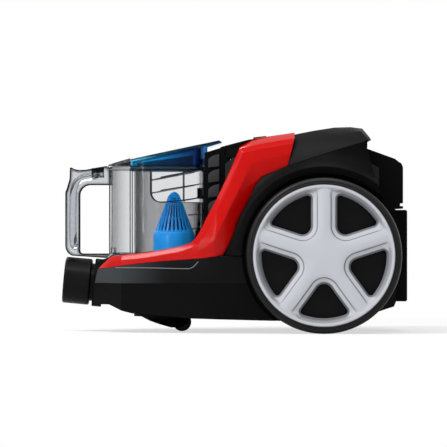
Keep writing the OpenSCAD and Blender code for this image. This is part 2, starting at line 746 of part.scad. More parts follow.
// Wall under the deck's edge, down to the casing and, in front of it, to the louvres.
module deck_skirt() {
    intersection() {
        prism_y([
            [casing_front_x, casing_top_z + seat], [hood_x - eps, casing_top_z + seat],
            [hood_x - eps, deck_rear_z - 1], [deck_kink_x, deck_kink_z - 1], [deck_front_x, deck_front_z - 1],
            [deck_front_x, louvre_top_z + seat], [casing_front_x, louvre_top_z + seat]
        ], -big, big);
        linear_extrude(height = big) difference() {
            polygon(deck_plan(1));
            polygon(deck_plan(1 + skirt_t));
        }
    }
}
module top_deck() {
    color([0.14, 0.14, 0.15]) difference() {
        union() {
            intersection() {
                prism_y([
                    [deck_front_x, deck_front_z - 1], [deck_front_x + 1, deck_front_z],
                    [deck_kink_x, deck_kink_z], [hood_x, deck_rear_z],
                    [hood_x, deck_rear_z - deck_t], [deck_kink_x, deck_kink_z - deck_t],
                    [deck_front_x + 3, deck_front_z - deck_t]
                ], -big, big);
                linear_extrude(height = big) polygon(deck_plan(0));
            }
            deck_skirt();
            both() for (x = deck_post_x)
                translate([x, deck_post_y, casing_top_z + seat])
                    cylinder(r = 4, h = deck_top(x) - casing_top_z - deck_t / 2 - seat);
        }
        both() translate([button_x, button_y, 0])
            bar(-button_l / 2 - slide_gap, button_w / 2 + slide_gap, deck_front_z - 20, button_l + 2 * slide_gap, 60);
    }
}

/* ---- Bay wall, rear ---- */

louvre_pitch = 17.7;
louvre_count = 4;
louvre_half_w = 58;
louvre_tilt = 10.5;
scallop_r = 11;
louvre_back_t = 2.5;
louvre_back_x = casing_front_x - seat - louvre_back_t;
// One louvre: a sloping top, a scalloped front and a hollow underside.
module louvre(z) {
    d = louvre_back_x + 0.1 - louvre_front_x;
    difference() {
        prism_y(concat(
            [[louvre_front_x + d, z + d * tan(louvre_tilt)], [louvre_front_x, z]],
            [for (a = [180:10:270])
                [louvre_front_x + scallop_r + scallop_r * cos(a), z - 2 + scallop_r * sin(a)]],
            [[louvre_front_x + d, z - 2 - scallop_r]]
        ), -louvre_half_w, louvre_half_w);
        bar(louvre_front_x + 3, louvre_half_w - 2, z - scallop_r, d, scallop_r - 3);
    }
}
module louvre_wall() {
    top_z = louvre_top_z;
    color([0.28, 0.29, 0.3]) difference() {
        union() {
            bar(louvre_back_x, louvre_half_w + 6, bay_z + seat, louvre_back_t, top_z - bay_z - seat);
            for (i = [0:louvre_count - 1]) louvre(top_z - 4.5 - i * louvre_pitch);
        }
        air_port();
    }
}

grille_gap = 0.5;
module rear_housing() {
    color([0.12, 0.12, 0.13]) difference() {
        prism_y(housing_side, -housing_half_w, housing_half_w);
        prism_y(housing_cavity, -housing_half_w + 3, housing_half_w - 3);
        bar(housing_rear_x - 10, grille_w / 2 + grille_gap, grille_z - grille_gap, 20, grille_h + 2 * grille_gap);
    }
}

module rear_foot() {
    foot_top_z = housing_step_z - 1.4;
    color([0.1, 0.1, 0.11]) difference() {
        prism_y([
            [tail_x + seat, foot_z0], [rear_x - 1.5, foot_z0], [rear_x, foot_z0 + 1.5],
            [rear_x, foot_top_z - 1.5], [rear_x - 1.5, foot_top_z], [tail_x + seat, foot_top_z]
        ], -foot_half_w, foot_half_w);
        bar(tail_x - 1, foot_half_w - 3, foot_z0 + 3, rear_x - tail_x - 2.5, foot_top_z - foot_z0 - 6);
        for (y = [-40:16:40]) translate([rear_x - 1.2, y - 2, foot_z0 + 10])
            cube([3, 4, foot_top_z - foot_z0 - 20]);
    }
}

module cord_gland() {
    color([0.1, 0.1, 0.1]) translate([0, gland_y, gland_z]) {
        rod_x(gland_r, tail_x - 5, tail_x + seat, 4);
        rod_x(gland_r + 2.5, tail_x + seat, tail_x + seat + 2.5, 4);
    }
}

/* ---- Wheels ---- */

// Wheel parts are drawn for the +Y side and mirrored for the other.
module at_wheel(side) {
    at_axle() mirror([0, side > 0 ? 0 : 1, 0]) children();
}
module revolve_y(profile, sides = 96) {
    rotate([-90, 0, 0]) rotate_extrude($fn = sides) polygon(profile);
}
axle_out_y = wheel_face_y - cap_depth - 6;
module axle(side) {
    color([0.7, 0.71, 0.73]) at_wheel(side) {
        rod_y(axle_d / 2, axle_in_y, axle_out_y);
        rod_y(axle_d / 2 + 3.5, axle_out_y, axle_out_y + 2);
    }
}
module left_axle() { axle(-1); }
module right_axle() { axle(1); }

module tyre(side) {
    crown = 2;
    color([0.16, 0.16, 0.17]) at_wheel(side) revolve_y([
        [rim_r + seat, tyre_in_y + 1], [wheel_r - 3, tyre_in_y], [wheel_r - 0.8, tyre_in_y + 3],
        [wheel_r, tyre_in_y + tyre_w * 0.3], [wheel_r, tyre_face_y - tyre_w * 0.3],
        [wheel_r - crown / 2, tyre_face_y - 3], [wheel_r - 3.5, tyre_face_y - 0.6],
        [rim_r + 2.5, tyre_face_y], [rim_r + seat, tyre_face_y - 1]
    ], 128);
}
module left_tyre() { tyre(-1); }
module right_tyre() { tyre(1); }

module wheel_disc(side) {
    hub_in_y = well_y + 2.5 + 1.2;
    hub_out_y = axle_out_y - seat;
    web_y = tyre_in_y + tyre_w * 0.42;
    lid_y = wheel_face_y - cap_depth - seat;
    color([0.11, 0.11, 0.12]) at_wheel(side) revolve_y([
        [axle_d / 2 + run_gap, hub_in_y], [axle_d / 2 + 6, hub_in_y], [axle_d / 2 + 7, web_y],
        [rim_r - 7, web_y], [rim_r - 3, tyre_in_y + 3], [rim_r, tyre_in_y + 2],
        [rim_r, lid_y], [rim_r - 3, lid_y], [rim_r - 5, web_y + 3],
        [axle_d / 2 + 8, web_y + 3], [axle_d / 2 + 6, hub_out_y], [axle_d / 2 + run_gap, hub_out_y]
    ]);
}
module left_wheel_disc() { wheel_disc(-1); }
module right_wheel_disc() { wheel_disc(1); }

cap_r = rim_r;
window_out_r = cap_r - cap_rim_w;
// Rounded window between two parallel-sided spokes, grown outward by grow.
function window_outline(grow) = let (
    step = 180 / spoke_count,
    half_spoke = spoke_w / 2,
    corner_c = window_out_r - window_corner_r,
    corner_a = step - asin((half_spoke + window_corner_r) / corner_c),
    corner_r = window_corner_r + grow,
    tip_c = (half_spoke + window_tip_r) / sin(step),
    tip_r = window_tip_r + grow,
    upper = concat(
        [for (i = [0:3]) let (a = corner_a * i / 4) (window_out_r + grow) * [cos(a), sin(a)]],
        [for (i = [0:4]) let (a = corner_a + (step + 90 - corner_a) * i / 4)
            corner_c * [cos(corner_a), sin(corner_a)] + corner_r * [cos(a), sin(a)]],
        [for (i = [0:4]) let (a = step + 90 + (90 - step) * i / 4) [tip_c, 0] + tip_r * [cos(a), sin(a)]]
    )
) concat(upper, [for (i = [len(upper) - 2:-1:1]) [upper[i][0], -upper[i][1]]]);
module window_cutter() {
    small = window_outline(0);
    large = window_outline(window_bevel);
    floor_y = wheel_face_y - cap_depth - 3;
    mid_y = wheel_face_y - cap_depth * 0.45;
    loft([
        [for (p = small) [p[0], floor_y, p[1]]],
        [for (p = small) [p[0], mid_y, p[1]]],
        [for (p = large) [p[0], wheel_face_y + 1, p[1]]]
    ]);
}
module spoke_cap(side) {
    back_y = wheel_face_y - cap_depth;
    color([0.8, 0.82, 0.84]) at_wheel(side) difference() {
        revolve_y([
            [0, back_y], [cap_r, back_y], [cap_r, wheel_face_y - 1.2], [cap_r - 1.2, wheel_face_y],
            [cap_r - 4, wheel_face_y], [cap_r - 7, wheel_face_y - 1.2], [cap_r * 0.6, wheel_face_y - 2],
            [cap_r * 0.3, wheel_face_y - 1.6], [0, wheel_face_y - 1.4]
        ]);
        for (i = [0:spoke_count - 1]) rotate([0, -90 - 180 / spoke_count - i * 360 / spoke_count, 0]) window_cutter();
        rod_y(axle_d / 2 + 5, back_y - 1, back_y + 2);
    }
}
module left_spoke_cap() { spoke_cap(-1); }
module right_spoke_cap() { spoke_cap(1); }

/* ---- Caster ---- */

caster_wheel_r = caster_wheel_d / 2;
caster_wheel_x = caster_x + caster_trail;
caster_pin_r = 2;
fork_gap = 0.8;
module caster_turntable() {
    r = turntable_d / 2;
    top_z = pocket_top_z - seat;
    color([0.12, 0.12, 0.13]) difference() {
        union() {
            intersection() {
                translate([caster_x, 0, 0]) rotate_extrude() polygon([
                    [0, 2], [r * 0.5, 3], [r * 0.72, 5.5], [r * 0.88, 10], [r * 0.97, 16], [r, 21], [r, top_z], [0, top_z]
                ]);
                prism_y([
                    [caster_x - r, 21.5], [caster_x - r * 0.85, 17.5], [caster_x - r * 0.55, 12.8],
                    [caster_x - r * 0.2, 8.8], [caster_x + r * 0.25, 4.6], [caster_x + r * 0.6, 5],
                    [caster_x + r, 9], [caster_x + r, top_z], [caster_x - r, top_z]
                ], -big, big);
            }
            translate([caster_x, 0, top_z - 1]) cylinder(d = pivot_d, h = 48 - seat - top_z + 1);
        }
        translate([caster_wheel_x, 0, caster_wheel_r])
            rod_y(caster_wheel_r + 1.5, -caster_wheel_w / 2 - fork_gap, caster_wheel_w / 2 + fork_gap);
        bar(caster_wheel_x, caster_wheel_w / 2 + fork_gap, -5, turntable_d, 5 + caster_wheel_r);
        translate([caster_wheel_x, 0, caster_wheel_r])
            rod_y(caster_pin_r + run_gap, -caster_wheel_w / 2 - 5, caster_wheel_w / 2 + 5);
    }
}
module caster_axle() {
    color([0.7, 0.71, 0.73]) translate([caster_wheel_x, 0, caster_wheel_r])
        rod_y(caster_pin_r, -caster_wheel_w / 2 - 4.5, caster_wheel_w / 2 + 4.5);
}
module caster_wheel() {
    w = caster_wheel_w / 2;
    color([0.15, 0.15, 0.16]) translate([caster_wheel_x, 0, caster_wheel_r]) revolve_y([
        [caster_pin_r + run_gap, -w], [caster_wheel_r - 2, -w], [caster_wheel_r, 2 - w],
        [caster_wheel_r, w - 2], [caster_wheel_r - 2, w], [caster_pin_r + run_gap, w]
    ], 64);
}

/* ---- Air inlet ---- */

module hose_collar() {
    lip_r = collar_d / 2;
    color([0.25, 0.25, 0.26]) along_collar() rotate([0, 90, 0]) rotate_extrude($fn = 96) polygon([
        [hose_bore_d / 2, 0], [lip_r - 1.5, 0], [lip_r, 1.5], [lip_r, collar_l - 1.5], [lip_r - 1.5, collar_l],
        [spigot_r, collar_l], [spigot_r, collar_l + spigot_l], [duct_in_r, collar_l + spigot_l],
        [duct_in_r, hose_bore_l + 3], [hose_bore_d / 2, hose_bore_l]
    ]);
}
duct_in_r = 17;
duct_out_r = 19;
duct_bend_r = 22;
seal_t = 2;
module collar_seal() {
    color([0.08, 0.08, 0.08]) along_collar()
        rod_x(duct_out_r + 1.5, collar_l + spigot_l + seat, collar_l + spigot_l + seat + seal_t, duct_in_r);
}
duct_from = collar_l + spigot_l + seal_t + 2 * seat;
duct_x = collar_face_x + duct_from * cos(collar_tilt);
duct_z = collar_z - duct_from * sin(collar_tilt);
bend_x = duct_x + duct_bend_r * sin(collar_tilt);
bend_z = duct_z + duct_bend_r * cos(collar_tilt);
riser_x = bend_x + duct_bend_r;
port_l = 24;
port_w = 48;
port_x = bin_front_x + bin_wall + 2;
seal_w = 3;
module elbow(r) {
    intersection() {
        translate([bend_x, 0, bend_z]) rotate([90, 0, 0]) rotate_extrude() translate([duct_bend_r, 0]) circle(r = r);
        prism_y([
            [bend_x, bend_z], [bend_x - 80 * sin(collar_tilt), bend_z - 80 * cos(collar_tilt)],
            [bend_x + 80, bend_z - 80], [bend_x + 80, bend_z]
        ], -40, 40);
    }
}
module inlet_duct() {
    box_x0 = riser_x - duct_out_r;
    box_x1 = riser_x + duct_out_r;
    box_top_z = bay_z - 3 - seat;
    box_z = bend_z - 3;
    color([0.18, 0.18, 0.19]) difference() {
        union() {
            elbow(duct_out_r);
            bar(box_x0, port_w / 2 + 3, box_z, box_x1 - box_x0, box_top_z - box_z);
        }
        elbow(duct_in_r);
        translate([riser_x, 0, bend_z - 4]) cylinder(r = duct_in_r, h = 6);
        bar(box_x0 + 2, port_w / 2 + 1, bend_z - 1, box_x1 - box_x0 - 4, box_top_z - bend_z - 1);
        bar(port_x, port_w / 2, bend_z, port_l, 40);
    }
}
module duct_seal() {
    color([0.08, 0.08, 0.08]) difference() {
        bar(port_x - seal_w, port_w / 2 + seal_w, bay_z - 3, port_l + 2 * seal_w, 3.1);
        bar(port_x, port_w / 2, bay_z - 10, port_l, 20);
    }
}

/* ---- Dust container ---- */

module bin_plan(inset) {
    r = bin_half_w - inset;
    corner = bin_corner_r - inset;
    intersection() {
        translate([bin_nose_x, 0]) circle(r = r, $fn = 96);
        translate([bin_nose_x - r - 1, -r - 1]) square([r + 2, 2 * r + 2]);
    }
    translate([bin_nose_x, -r]) square([bin_rear_x - bin_corner_r - bin_nose_x, 2 * r]);
    translate([bin_nose_x, -r + corner]) square([bin_rear_x - inset - bin_nose_x, 2 * (r - corner)]);
    for (side = [-1, 1]) translate([bin_rear_x - bin_corner_r, side * (r - corner)]) circle(r = corner);
}
module dust_container() {
    color([0.75, 0.78, 0.8, 0.35]) difference() {
        union() {
            translate([0, 0, bin_z]) linear_extrude(height = bin_h) bin_plan(0);
            translate([0, 0, bin_top_z - 4]) linear_extrude(height = 4) intersection() {
                bin_plan(-1.5);
                translate([bin_front_x - 1, -big]) square([bin_l + 1.5, 2 * big]);
            }
        }
        translate([0, 0, bin_z + bin_wall]) linear_extrude(height = bin_h) bin_plan(bin_wall);
        bar(port_x, port_w / 2, bin_z - 1, port_l, 10);
    }
}

handle_front_x = bin_front_x - handle_reach;
handle_top_z = bin_top_z - 1.3;
handle_base_z = bin_z - 2;
handle_foot_t = 4;
grip_top_z = bin_top_z - 21.5;
function arc_xz(cx, cz, r, a0, a1) = [
    for (i = [0:5]) let (a = a0 + (a1 - a0) * i / 5) [cx + r * cos(a), cz + r * sin(a)]
];
module container_handle() {
    outer = concat(
        [[bin_front_x + 4, bin_z + 1.5], [bin_front_x - 2, handle_base_z]],
        reversed(arc_xz(handle_front_x + 12, handle_base_z + 14, 12, 180, 250)),
        [
            [handle_front_x, handle_base_z + 16], [handle_front_x, bin_top_z - 31],
            [handle_front_x + 1.6, bin_top_z - 27], [handle_front_x + 5, handle_top_z - 14],
            [handle_front_x + 5.6, handle_top_z], [handle_front_x + 9, handle_top_z - 2.2],
            [handle_front_x + 16, handle_top_z - 3.6], [handle_front_x + 24, handle_top_z - 3.2],
            [handle_front_x + 36, handle_top_z - 0.8], [bin_front_x - 2, handle_top_z + 1.3], [bin_front_x + 4, handle_top_z + 1.3]
        ]
    );
    grip = concat(
        [[bin_front_x + 6, handle_base_z + handle_foot_t], [bin_front_x + 6, grip_top_z]],
        arc_xz(handle_front_x + handle_bar + 13, grip_top_z - 13, 13, 90, 180),
        arc_xz(handle_front_x + handle_bar + 4, handle_base_z + handle_foot_t + 4, 4, 180, 270)
    );
    color([0.72, 0.74, 0.76, 0.4]) difference() {
        prism_y(outer, -handle_w / 2, handle_w / 2);
        prism_y(grip, -handle_w, handle_w);
        translate([bin_nose_x, 0, 0]) cylinder(r = bin_half_w + 0.15, h = big, $fn = 96);
        translate([bin_nose_x, 0, bin_top_z - 4 - seat]) cylinder(r = bin_half_w + 1.5 + seat, h = big, $fn = 96);
        bar(release_x - release_l / 2 - slide_gap, release_w / 2 + slide_gap, handle_top_z - 12, release_l + 2 * slide_gap, 40);
    }
}
release_l = 14;
release_w = 16;
release_x = handle_front_x + 38;
release_z = handle_top_z - 12;
release_travel = 2.5;
module release_button() {
    color([0.15, 0.15, 0.16]) difference() {
        bar(release_x - release_l / 2, release_w / 2, release_z + release_travel + 3.5, release_l, 8 - release_travel);
        translate([release_x, 0, release_z + release_travel + 2.5]) cylinder(d = 8, h = 3.5);
    }
}

// Round wire wound as a helix between two heights, with even turns.
module coil_spring(coil_r, wire_r, z0, z1, turns) {
    steps = 10;
    total = turns * steps;
    rings = [for (i = [0:total]) let (a = i * 360 / steps, z = z0 + wire_r + (z1 - z0 - 2 * wire_r) * i / total)
        [for (k = [0:5]) let (b = k * 60, r = coil_r + wire_r * cos(b)) [r * cos(a), r * sin(a), z + wire_r * sin(b)]]];
    loft(rings);
}
module release_spring() {
    color([0.75, 0.75, 0.77]) translate([release_x, 0, 0])
        coil_spring(2.8, 0.4, release_z + 0.1, release_z + 8.4, 4);
}

window_x = cone_x - 27.6;
window_z = bin_z + 64;
// Thin slats across the window lean as the lid does.
slat_z = bin_z + 74;
slat_pitch = 15.6;
slat_t = 1.2;
module cyclone_wall() {
    wall = 1.5;
    r = cyclone_d / 2;
    z0 = bin_z + bin_wall + seat;
    color([0.8, 0.82, 0.84, 0.3]) difference() {
        translate([cyclone_x, 0, z0]) cylinder(r = r, h = bin_top_z - 4 - z0, $fn = 96);
        translate([cyclone_x, 0, z0 - 1]) cylinder(r = r - wall, h = bin_h, $fn = 96);
        difference() {
            prism_y(concat(
                [[big, bin_top_z + 5], [window_x, bin_top_z + 5]],
                arc_xz(window_x + 12, window_z + 12, 12, 180, 270),
                [[big, window_z]]
            ), -big, big);
            for (i = [0:1]) translate([window_x, 0, slat_z + i * slat_pitch]) rotate([0, -louvre_tilt, 0])
                bar(-big, big, 0, big + cyclone_d * 0.66, slat_t);
            bar(cyclone_x + 18, big, window_z, slat_t, bin_h);
        }
    }
}

// Cone: plain base, then a tapered finned body that ends in a rounded tip.
module cyclone_cone() {
    r = cone_d / 2;
    z0 = bin_z + bin_wall + seat;
    fin_top_z = z0 + cone_h - 10;
    fin_low_z = z0 + cone_base_h;
    tip_r = 5;
    color([0.08, 0.45, 0.75]) translate([cone_x, 0, 0]) union() {
        rotate_extrude() polygon(concat(
            [[0, z0], [r - 0.5, z0], [r, z0 + 1], [r - 0.7, z0 + cone_base_h - 4], [r - 2.4, fin_low_z - 1],
            [r - 2.4, fin_low_z + 1], [r * 0.55, fin_low_z + (fin_top_z - fin_low_z) * 0.55], [tip_r, fin_top_z + 3]],
            [for (a = [20:15:80]) [tip_r * cos(a), fin_top_z + 5 + tip_r * sin(a)]],
            [[0, fin_top_z + 5 + tip_r]]
        ));
        for (i = [0:fin_count - 1]) rotate([0, 0, i * 360 / fin_count])
            rotate([90, 0, 0]) translate([0, 0, -0.7]) linear_extrude(height = 1.4) polygon([
                [r * 0.4, fin_low_z - 2], [r - 1.2, fin_low_z - 2], [r - 1.6, fin_low_z + 2],
                [r * 0.62, fin_low_z + (fin_top_z - fin_low_z) * 0.55], [tip_r + 0.8, fin_top_z + 3], [tip_r - 1, fin_top_z + 5],
                [r * 0.4, fin_low_z + 10]
            ]);
    }
}

module rear_key() {
    color([0.1, 0.1, 0.11]) translate([bin_rear_x - bin_wall - seat - 6, -8, bin_z + 68]) difference() {
        cube([6, 16, 13]);
        translate([1.5, 2, 2]) cube([3, 12, 12]);
    }
}

/* ---- Lid ---- */

lid_z = bin_top_z + seat;
lid_front_x = bin_front_x + 27;
lid_tail_x = bin_rear_x + 20;
lid_body_x = bin_rear_x + 3;
lid_front_h = 7.5;
lid_plate_t = 4;
lid_inset = 6;
function lid_top(x) = lid_z + lid_front_h + lid_rise * (x - lid_front_x) / (lid_tail_x - lid_front_x);
// Plan of the lid over the container's rim.
module lid_plan(x0, x1) {
    intersection() {
        union() {
            bin_plan(-1);
            translate([bin_nose_x + 20, -bin_half_w + 6]) square([lid_tail_x - bin_nose_x - 20, 2 * bin_half_w - 12]);
        }
        translate([x0, -big]) square([x1 - x0, 2 * big]);
    }
}
module container_lid() {
    plug_t = 2.5;
    color([0.1, 0.35, 0.65, 0.8]) difference() {
        union() {
            intersection() {
                translate([0, 0, lid_z]) linear_extrude(height = 60) lid_plan(lid_front_x, lid_tail_x);
                prism_y([
                    [lid_front_x, lid_z], [lid_front_x, lid_top(lid_front_x)], [lid_tail_x - 3, lid_top(lid_tail_x - 3)],
                    [lid_tail_x, lid_top(lid_tail_x) - 2.5], [lid_tail_x, lid_top(lid_tail_x) - 3.5],
                    [lid_body_x, lid_top(lid_body_x) - lid_plate_t - 1], [lid_body_x, lid_z]
                ], -big, big);
            }
            translate([0, 0, lid_z - 6]) linear_extrude(height = 7) intersection() {
                difference() {
                    bin_plan(bin_wall + 1.7);
                    bin_plan(bin_wall + 1.7 + plug_t);
                }
                translate([lid_front_x, -big]) square([big, 2 * big]);
            }
        }
        intersection() {
            translate([0, 0, lid_z - 1]) linear_extrude(height = 60) bin_plan(lid_inset);
            prism_y([
                [lid_front_x + 3, lid_z - 2], [lid_front_x + 3, lid_top(lid_front_x + 3) - 3],
                [lid_body_x - 6, lid_top(lid_body_x - 6) - 3], [lid_body_x - 6, lid_z - 2]
            ], -big, big);
        }
        air_port();
    }
}
module lid_front() {
    color([0.45, 0.47, 0.5, 0.5]) difference() {
        intersection() {
            translate([0, 0, lid_z]) linear_extrude(height = 20) lid_plan(bin_front_x - 3, lid_front_x - seat);
            prism_y([
                [bin_front_x - 3, lid_z], [bin_front_x - 3, lid_z + 1.2], [lid_front_x, lid_top(lid_front_x) + 1.5],
                [lid_front_x, lid_z]
            ], -big, big);
        }
        intersection() {
            translate([0, 0, lid_z - 1]) linear_extrude(height = 20) bin_plan(3);
            prism_y([
                [bin_front_x + 8, lid_z - 1], [bin_front_x + 8, lid_z + 1], [lid_front_x + 5, lid_top(lid_front_x) - 1.5],
                [lid_front_x + 5, lid_z - 1]
            ], -big, big);
        }
    }
}
module lid_seal() {
    color([0.07, 0.07, 0.08]) translate([0, 0, lid_z - 4]) linear_extrude(height = 2) intersection() {
        difference() {
            bin_plan(bin_wall + 0.15);
            bin_plan(bin_wall + 1.7);
        }
        translate([lid_front_x + 1, -big]) square([big, 2 * big]);
    }
}
module pre_motor_filter() {
    color([0.2, 0.22, 0.28]) intersection() {
        translate([0, 0, lid_z + 0.2]) linear_extrude(height = 12) bin_plan(lid_inset + seat);
        prism_y([
            [lid_front_x + 8, lid_z], [lid_front_x + 8, lid_z + 3.5], [bin_rear_x - 14, lid_z + 12],
            [bin_rear_x - 14, lid_z]
        ], -big, big);
    }
}

/* ---- Motor ---- */

motor_housing_d = 2 * casing_half_w * motor_share;
motor_can_d = motor_housing_d - can_room;
fan_cover_d = motor_housing_d - cover_room;
motor_side_gap = 4.9;
motor_y = motor_housing_d / 2 + motor_side_gap + casing_t - casing_half_w;
motor_z = 105;
motor_x = wheel_x - 75;
housing_t = 2.5;
can_x = motor_x + 36;
function motor_foot_x(i) = motor_x + 12 + i * (motor_housing_l - 24);
module motor_axis() { translate([0, motor_y, motor_z]) children(); }
module motor_housing() {
    r = motor_housing_d / 2;
    foot = r * 0.62;
    color([0.75, 0.75, 0.72]) difference() {
        union() {
            motor_axis() rod_x(r, motor_x, motor_x + motor_housing_l);
            for (i = [0, 1]) translate([motor_foot_x(i) - 2, motor_y - foot, rib_z + seat])
                cube([4, 2 * foot, motor_z - rib_z - foot]);
        }
        motor_axis() rod_x(r - housing_t, motor_x + 3, motor_x + motor_housing_l - 3);
        motor_axis() rod_x(24, motor_x - 1, motor_x + 5);
        for (a = [0:45:315]) motor_axis() rotate([a, 0, 0]) translate([0, 0, 28])
            rod_x(6, motor_x + motor_housing_l - 5, motor_x + motor_housing_l + 5);
    }
}
module motor_can() {
    r = motor_can_d / 2;
    color([0.6, 0.61, 0.63]) motor_axis() difference() {
        rod_x(r, can_x, can_x + motor_can_l);
        rod_x(r - 3, can_x + 3, can_x + motor_can_l - 3);
        rod_x(motor_shaft_d / 2 + run_gap, can_x - 2, can_x + motor_can_l + 2);
    }
}
module motor_ring(r_in, r_out, x0, x1) {
    color([0.06, 0.06, 0.06]) motor_axis() rod_x(r_out, x0, x1, r_in);
}
module rear_motor_mount() {
    motor_ring(motor_can_d / 2 + 0.1, motor_housing_d / 2 - housing_t - 0.1, can_x + motor_can_l - 12, can_x + motor_can_l - 4);
}
module front_motor_mount() {
    motor_ring(fan_cover_d / 2 + 0.1, motor_housing_d / 2 - housing_t - 0.1, motor_x + 12, motor_x + 22);
}
module fan_cover() {
    r = fan_cover_d / 2;
    color([0.72, 0.73, 0.75]) motor_axis() rotate([0, 90, 0]) rotate_extrude() polygon([
        [18, motor_x + 8], [r - 4, motor_x + 8], [r, motor_x + 12], [r, can_x - seat], [motor_can_d / 2 - 6, can_x - seat],
        [motor_can_d / 2 - 6, can_x - 3], [r - 2, can_x - 3], [r - 2, motor_x + 13], [r - 5, motor_x + 10], [18, motor_x + 10]
    ]);
}
module fan_impeller() {
    r = fan_cover_d / 2 - 5;
    x0 = motor_x + 14;
    x1 = can_x - 6;
    color([0.8, 0.8, 0.78]) motor_axis() difference() {
        union() {
            rod_x(r, x1 - 2, x1);
            rod_x(r, x0, x0 + 1.5, 16);
            rod_x(8, x0, x1);
            for (i = [0:8]) rotate([i * 40, 0, 0]) bar(x0 + 1, 0.75, 15, x1 - x0 - 2, r - 16);
        }
        rod_x(motor_shaft_d / 2 + 0.02, x0 - 1, x1 + 1);
    }
}
module motor_rotor() {
    color([0.5, 0.35, 0.2]) motor_axis() union() {
        rod_x(motor_shaft_d / 2, motor_x + 12, can_x + motor_can_l + 4);
        rod_x(motor_can_d / 2 - 12, can_x + 10, can_x + motor_can_l - 16);
        rod_x(11, can_x + motor_can_l - 14, can_x + motor_can_l - 6);
    }
}

/* ---- Cord reel ---- */

reel_x = wheel_x - 5;
reel_z = 105;
bracket_y = motor_y + motor_housing_d / 2 + 3;
bracket_t = 3;
reel_y = bracket_y + 11;
reel_w = axle_in_y - reel_room - reel_y;
reel_axle_r = 4;
flange_t = 2.5;
// The cup in the drum's end that holds the mainspring.
cup_depth = 16;
cup_in_r = reel_axle_r + run_gap + 5;
cup_out_r = reel_hub_d / 2 - 4;
module at_reel() { translate([reel_x, 0, reel_z]) children(); }
module reel_bracket() {
    color([0.3, 0.3, 0.31]) difference() {
        union() {
            prism_y([
                [motor_foot_x(0) - rib_t, rib_z + seat], [motor_foot_x(1) + rib_t, rib_z + seat],
                [reel_x + 14, reel_z + 12], [lever_x + 8, lever_z + 8], [lever_x - 8, lever_z + 8], [lever_x - 8, lever_z - 12]
            ], bracket_y, bracket_y + bracket_t);
            translate([lever_x, 0, lever_z]) rod_y(lever_pin_r, bracket_y + 1, lever_y + lever_w + 1.5);
        }
        at_reel() rod_y(reel_axle_r + run_gap, bracket_y - 1, bracket_y + bracket_t + 1);
        prism_y([
            [motor_foot_x(0) + 14, rib_z + 12], [motor_foot_x(1) - 14, rib_z + 12],
            [reel_x + 10, reel_z - 18], [reel_x - 14, reel_z - 18]
        ], bracket_y - 1, bracket_y + bracket_t + 1);
    }
}
module reel_axle() {
    color([0.7, 0.71, 0.73]) at_reel() {
        rod_y(reel_axle_r, bracket_y - 2, reel_y + reel_w + 2);
        rod_y(reel_axle_r + 3, bracket_y - 2, bracket_y - seat);
        rod_y(reel_axle_r + 3, reel_y + reel_w + seat, reel_y + reel_w + 2);
    }
}
module reel_drum() {
    r = reel_d / 2;
    hub_r = reel_hub_d / 2;
    bore_r = reel_axle_r + run_gap;
    y1 = reel_y + reel_w;
    color([0.16, 0.16, 0.17]) at_reel() difference() {
        revolve_y([
            [bore_r, reel_y], [r, reel_y], [r, reel_y + flange_t], [hub_r, reel_y + flange_t],
            [hub_r, y1 - flange_t], [r, y1 - flange_t], [r, y1], [cup_out_r, y1], [cup_out_r, y1 - cup_depth],
            [cup_in_r, y1 - cup_depth], [cup_in_r, reel_y + 6], [bore_r, reel_y + 6]
        ]);
        for (i = [0:5]) rotate([0, i * 60, 0]) translate([0, 0, (hub_r + r) / 2])
            rod_y((r - hub_r) / 2 - 5, y1 - flange_t - 1, y1 + 1);
    }
}
// Flat strip wound as an even spiral.
module reel_mainspring() {
    r0 = cup_in_r + seat;
    r1 = cup_out_r - seat;
    steps = mainspring_turns * 16;
    strip = 0.5;
    path = [for (i = [0:steps]) [i * 22.5, r0 + (r1 - r0 - strip) * i / steps]];
    y0 = reel_y + reel_w - cup_depth + seat;
    color([0.6, 0.6, 0.63]) at_reel() translate([0, y0 + 10, 0]) rotate([90, 0, 0]) linear_extrude(height = 10) polygon(concat(
        [for (p = path) [p[1] * cos(p[0]), p[1] * sin(p[0])]],
        [for (i = [steps:-1:0]) let (p = path[i]) [(p[1] + strip) * cos(p[0]), (p[1] + strip) * sin(p[0])]]
    ));
}
lever_x = button_x + 14;
lever_z = 178;
lever_y = bracket_y + bracket_t + seat;
lever_w = 9;
lever_pin_r = 2.5;
pad_r = 4;
lever_drop = 3.5;
// The brake pad rests against the rim of the near flange.
pad_angle = 125;
pad_orbit_r = reel_d / 2 + pad_r + seat;
module brake_lever() {
    pad = [reel_x + pad_orbit_r * cos(pad_angle), reel_z + pad_orbit_r * sin(pad_angle)];
    tip = [button_x, lever_z + lever_drop];
    color([0.7, 0.7, 0.68]) difference() {
        union() {
            prism_y([
                [tip[0] - 3, tip[1] - 4], [lever_x, lever_z - 5], [pad[0] + 1, pad[1] - 2],
                [pad[0] + 3, pad[1] + 2], [lever_x + 3, lever_z + 5], [tip[0] + 3, tip[1]], [tip[0] - 3, tip[1]]
            ], lever_y, lever_y + lever_w);
            translate([pad[0], 0, pad[1]]) rod_y(pad_r, lever_y, reel_y + flange_t);
        }
        translate([lever_x, 0, lever_z]) rod_y(lever_pin_r + run_gap, lever_y - 1, lever_y + lever_w + 1);
    }
}

/* ---- Controls ---- */

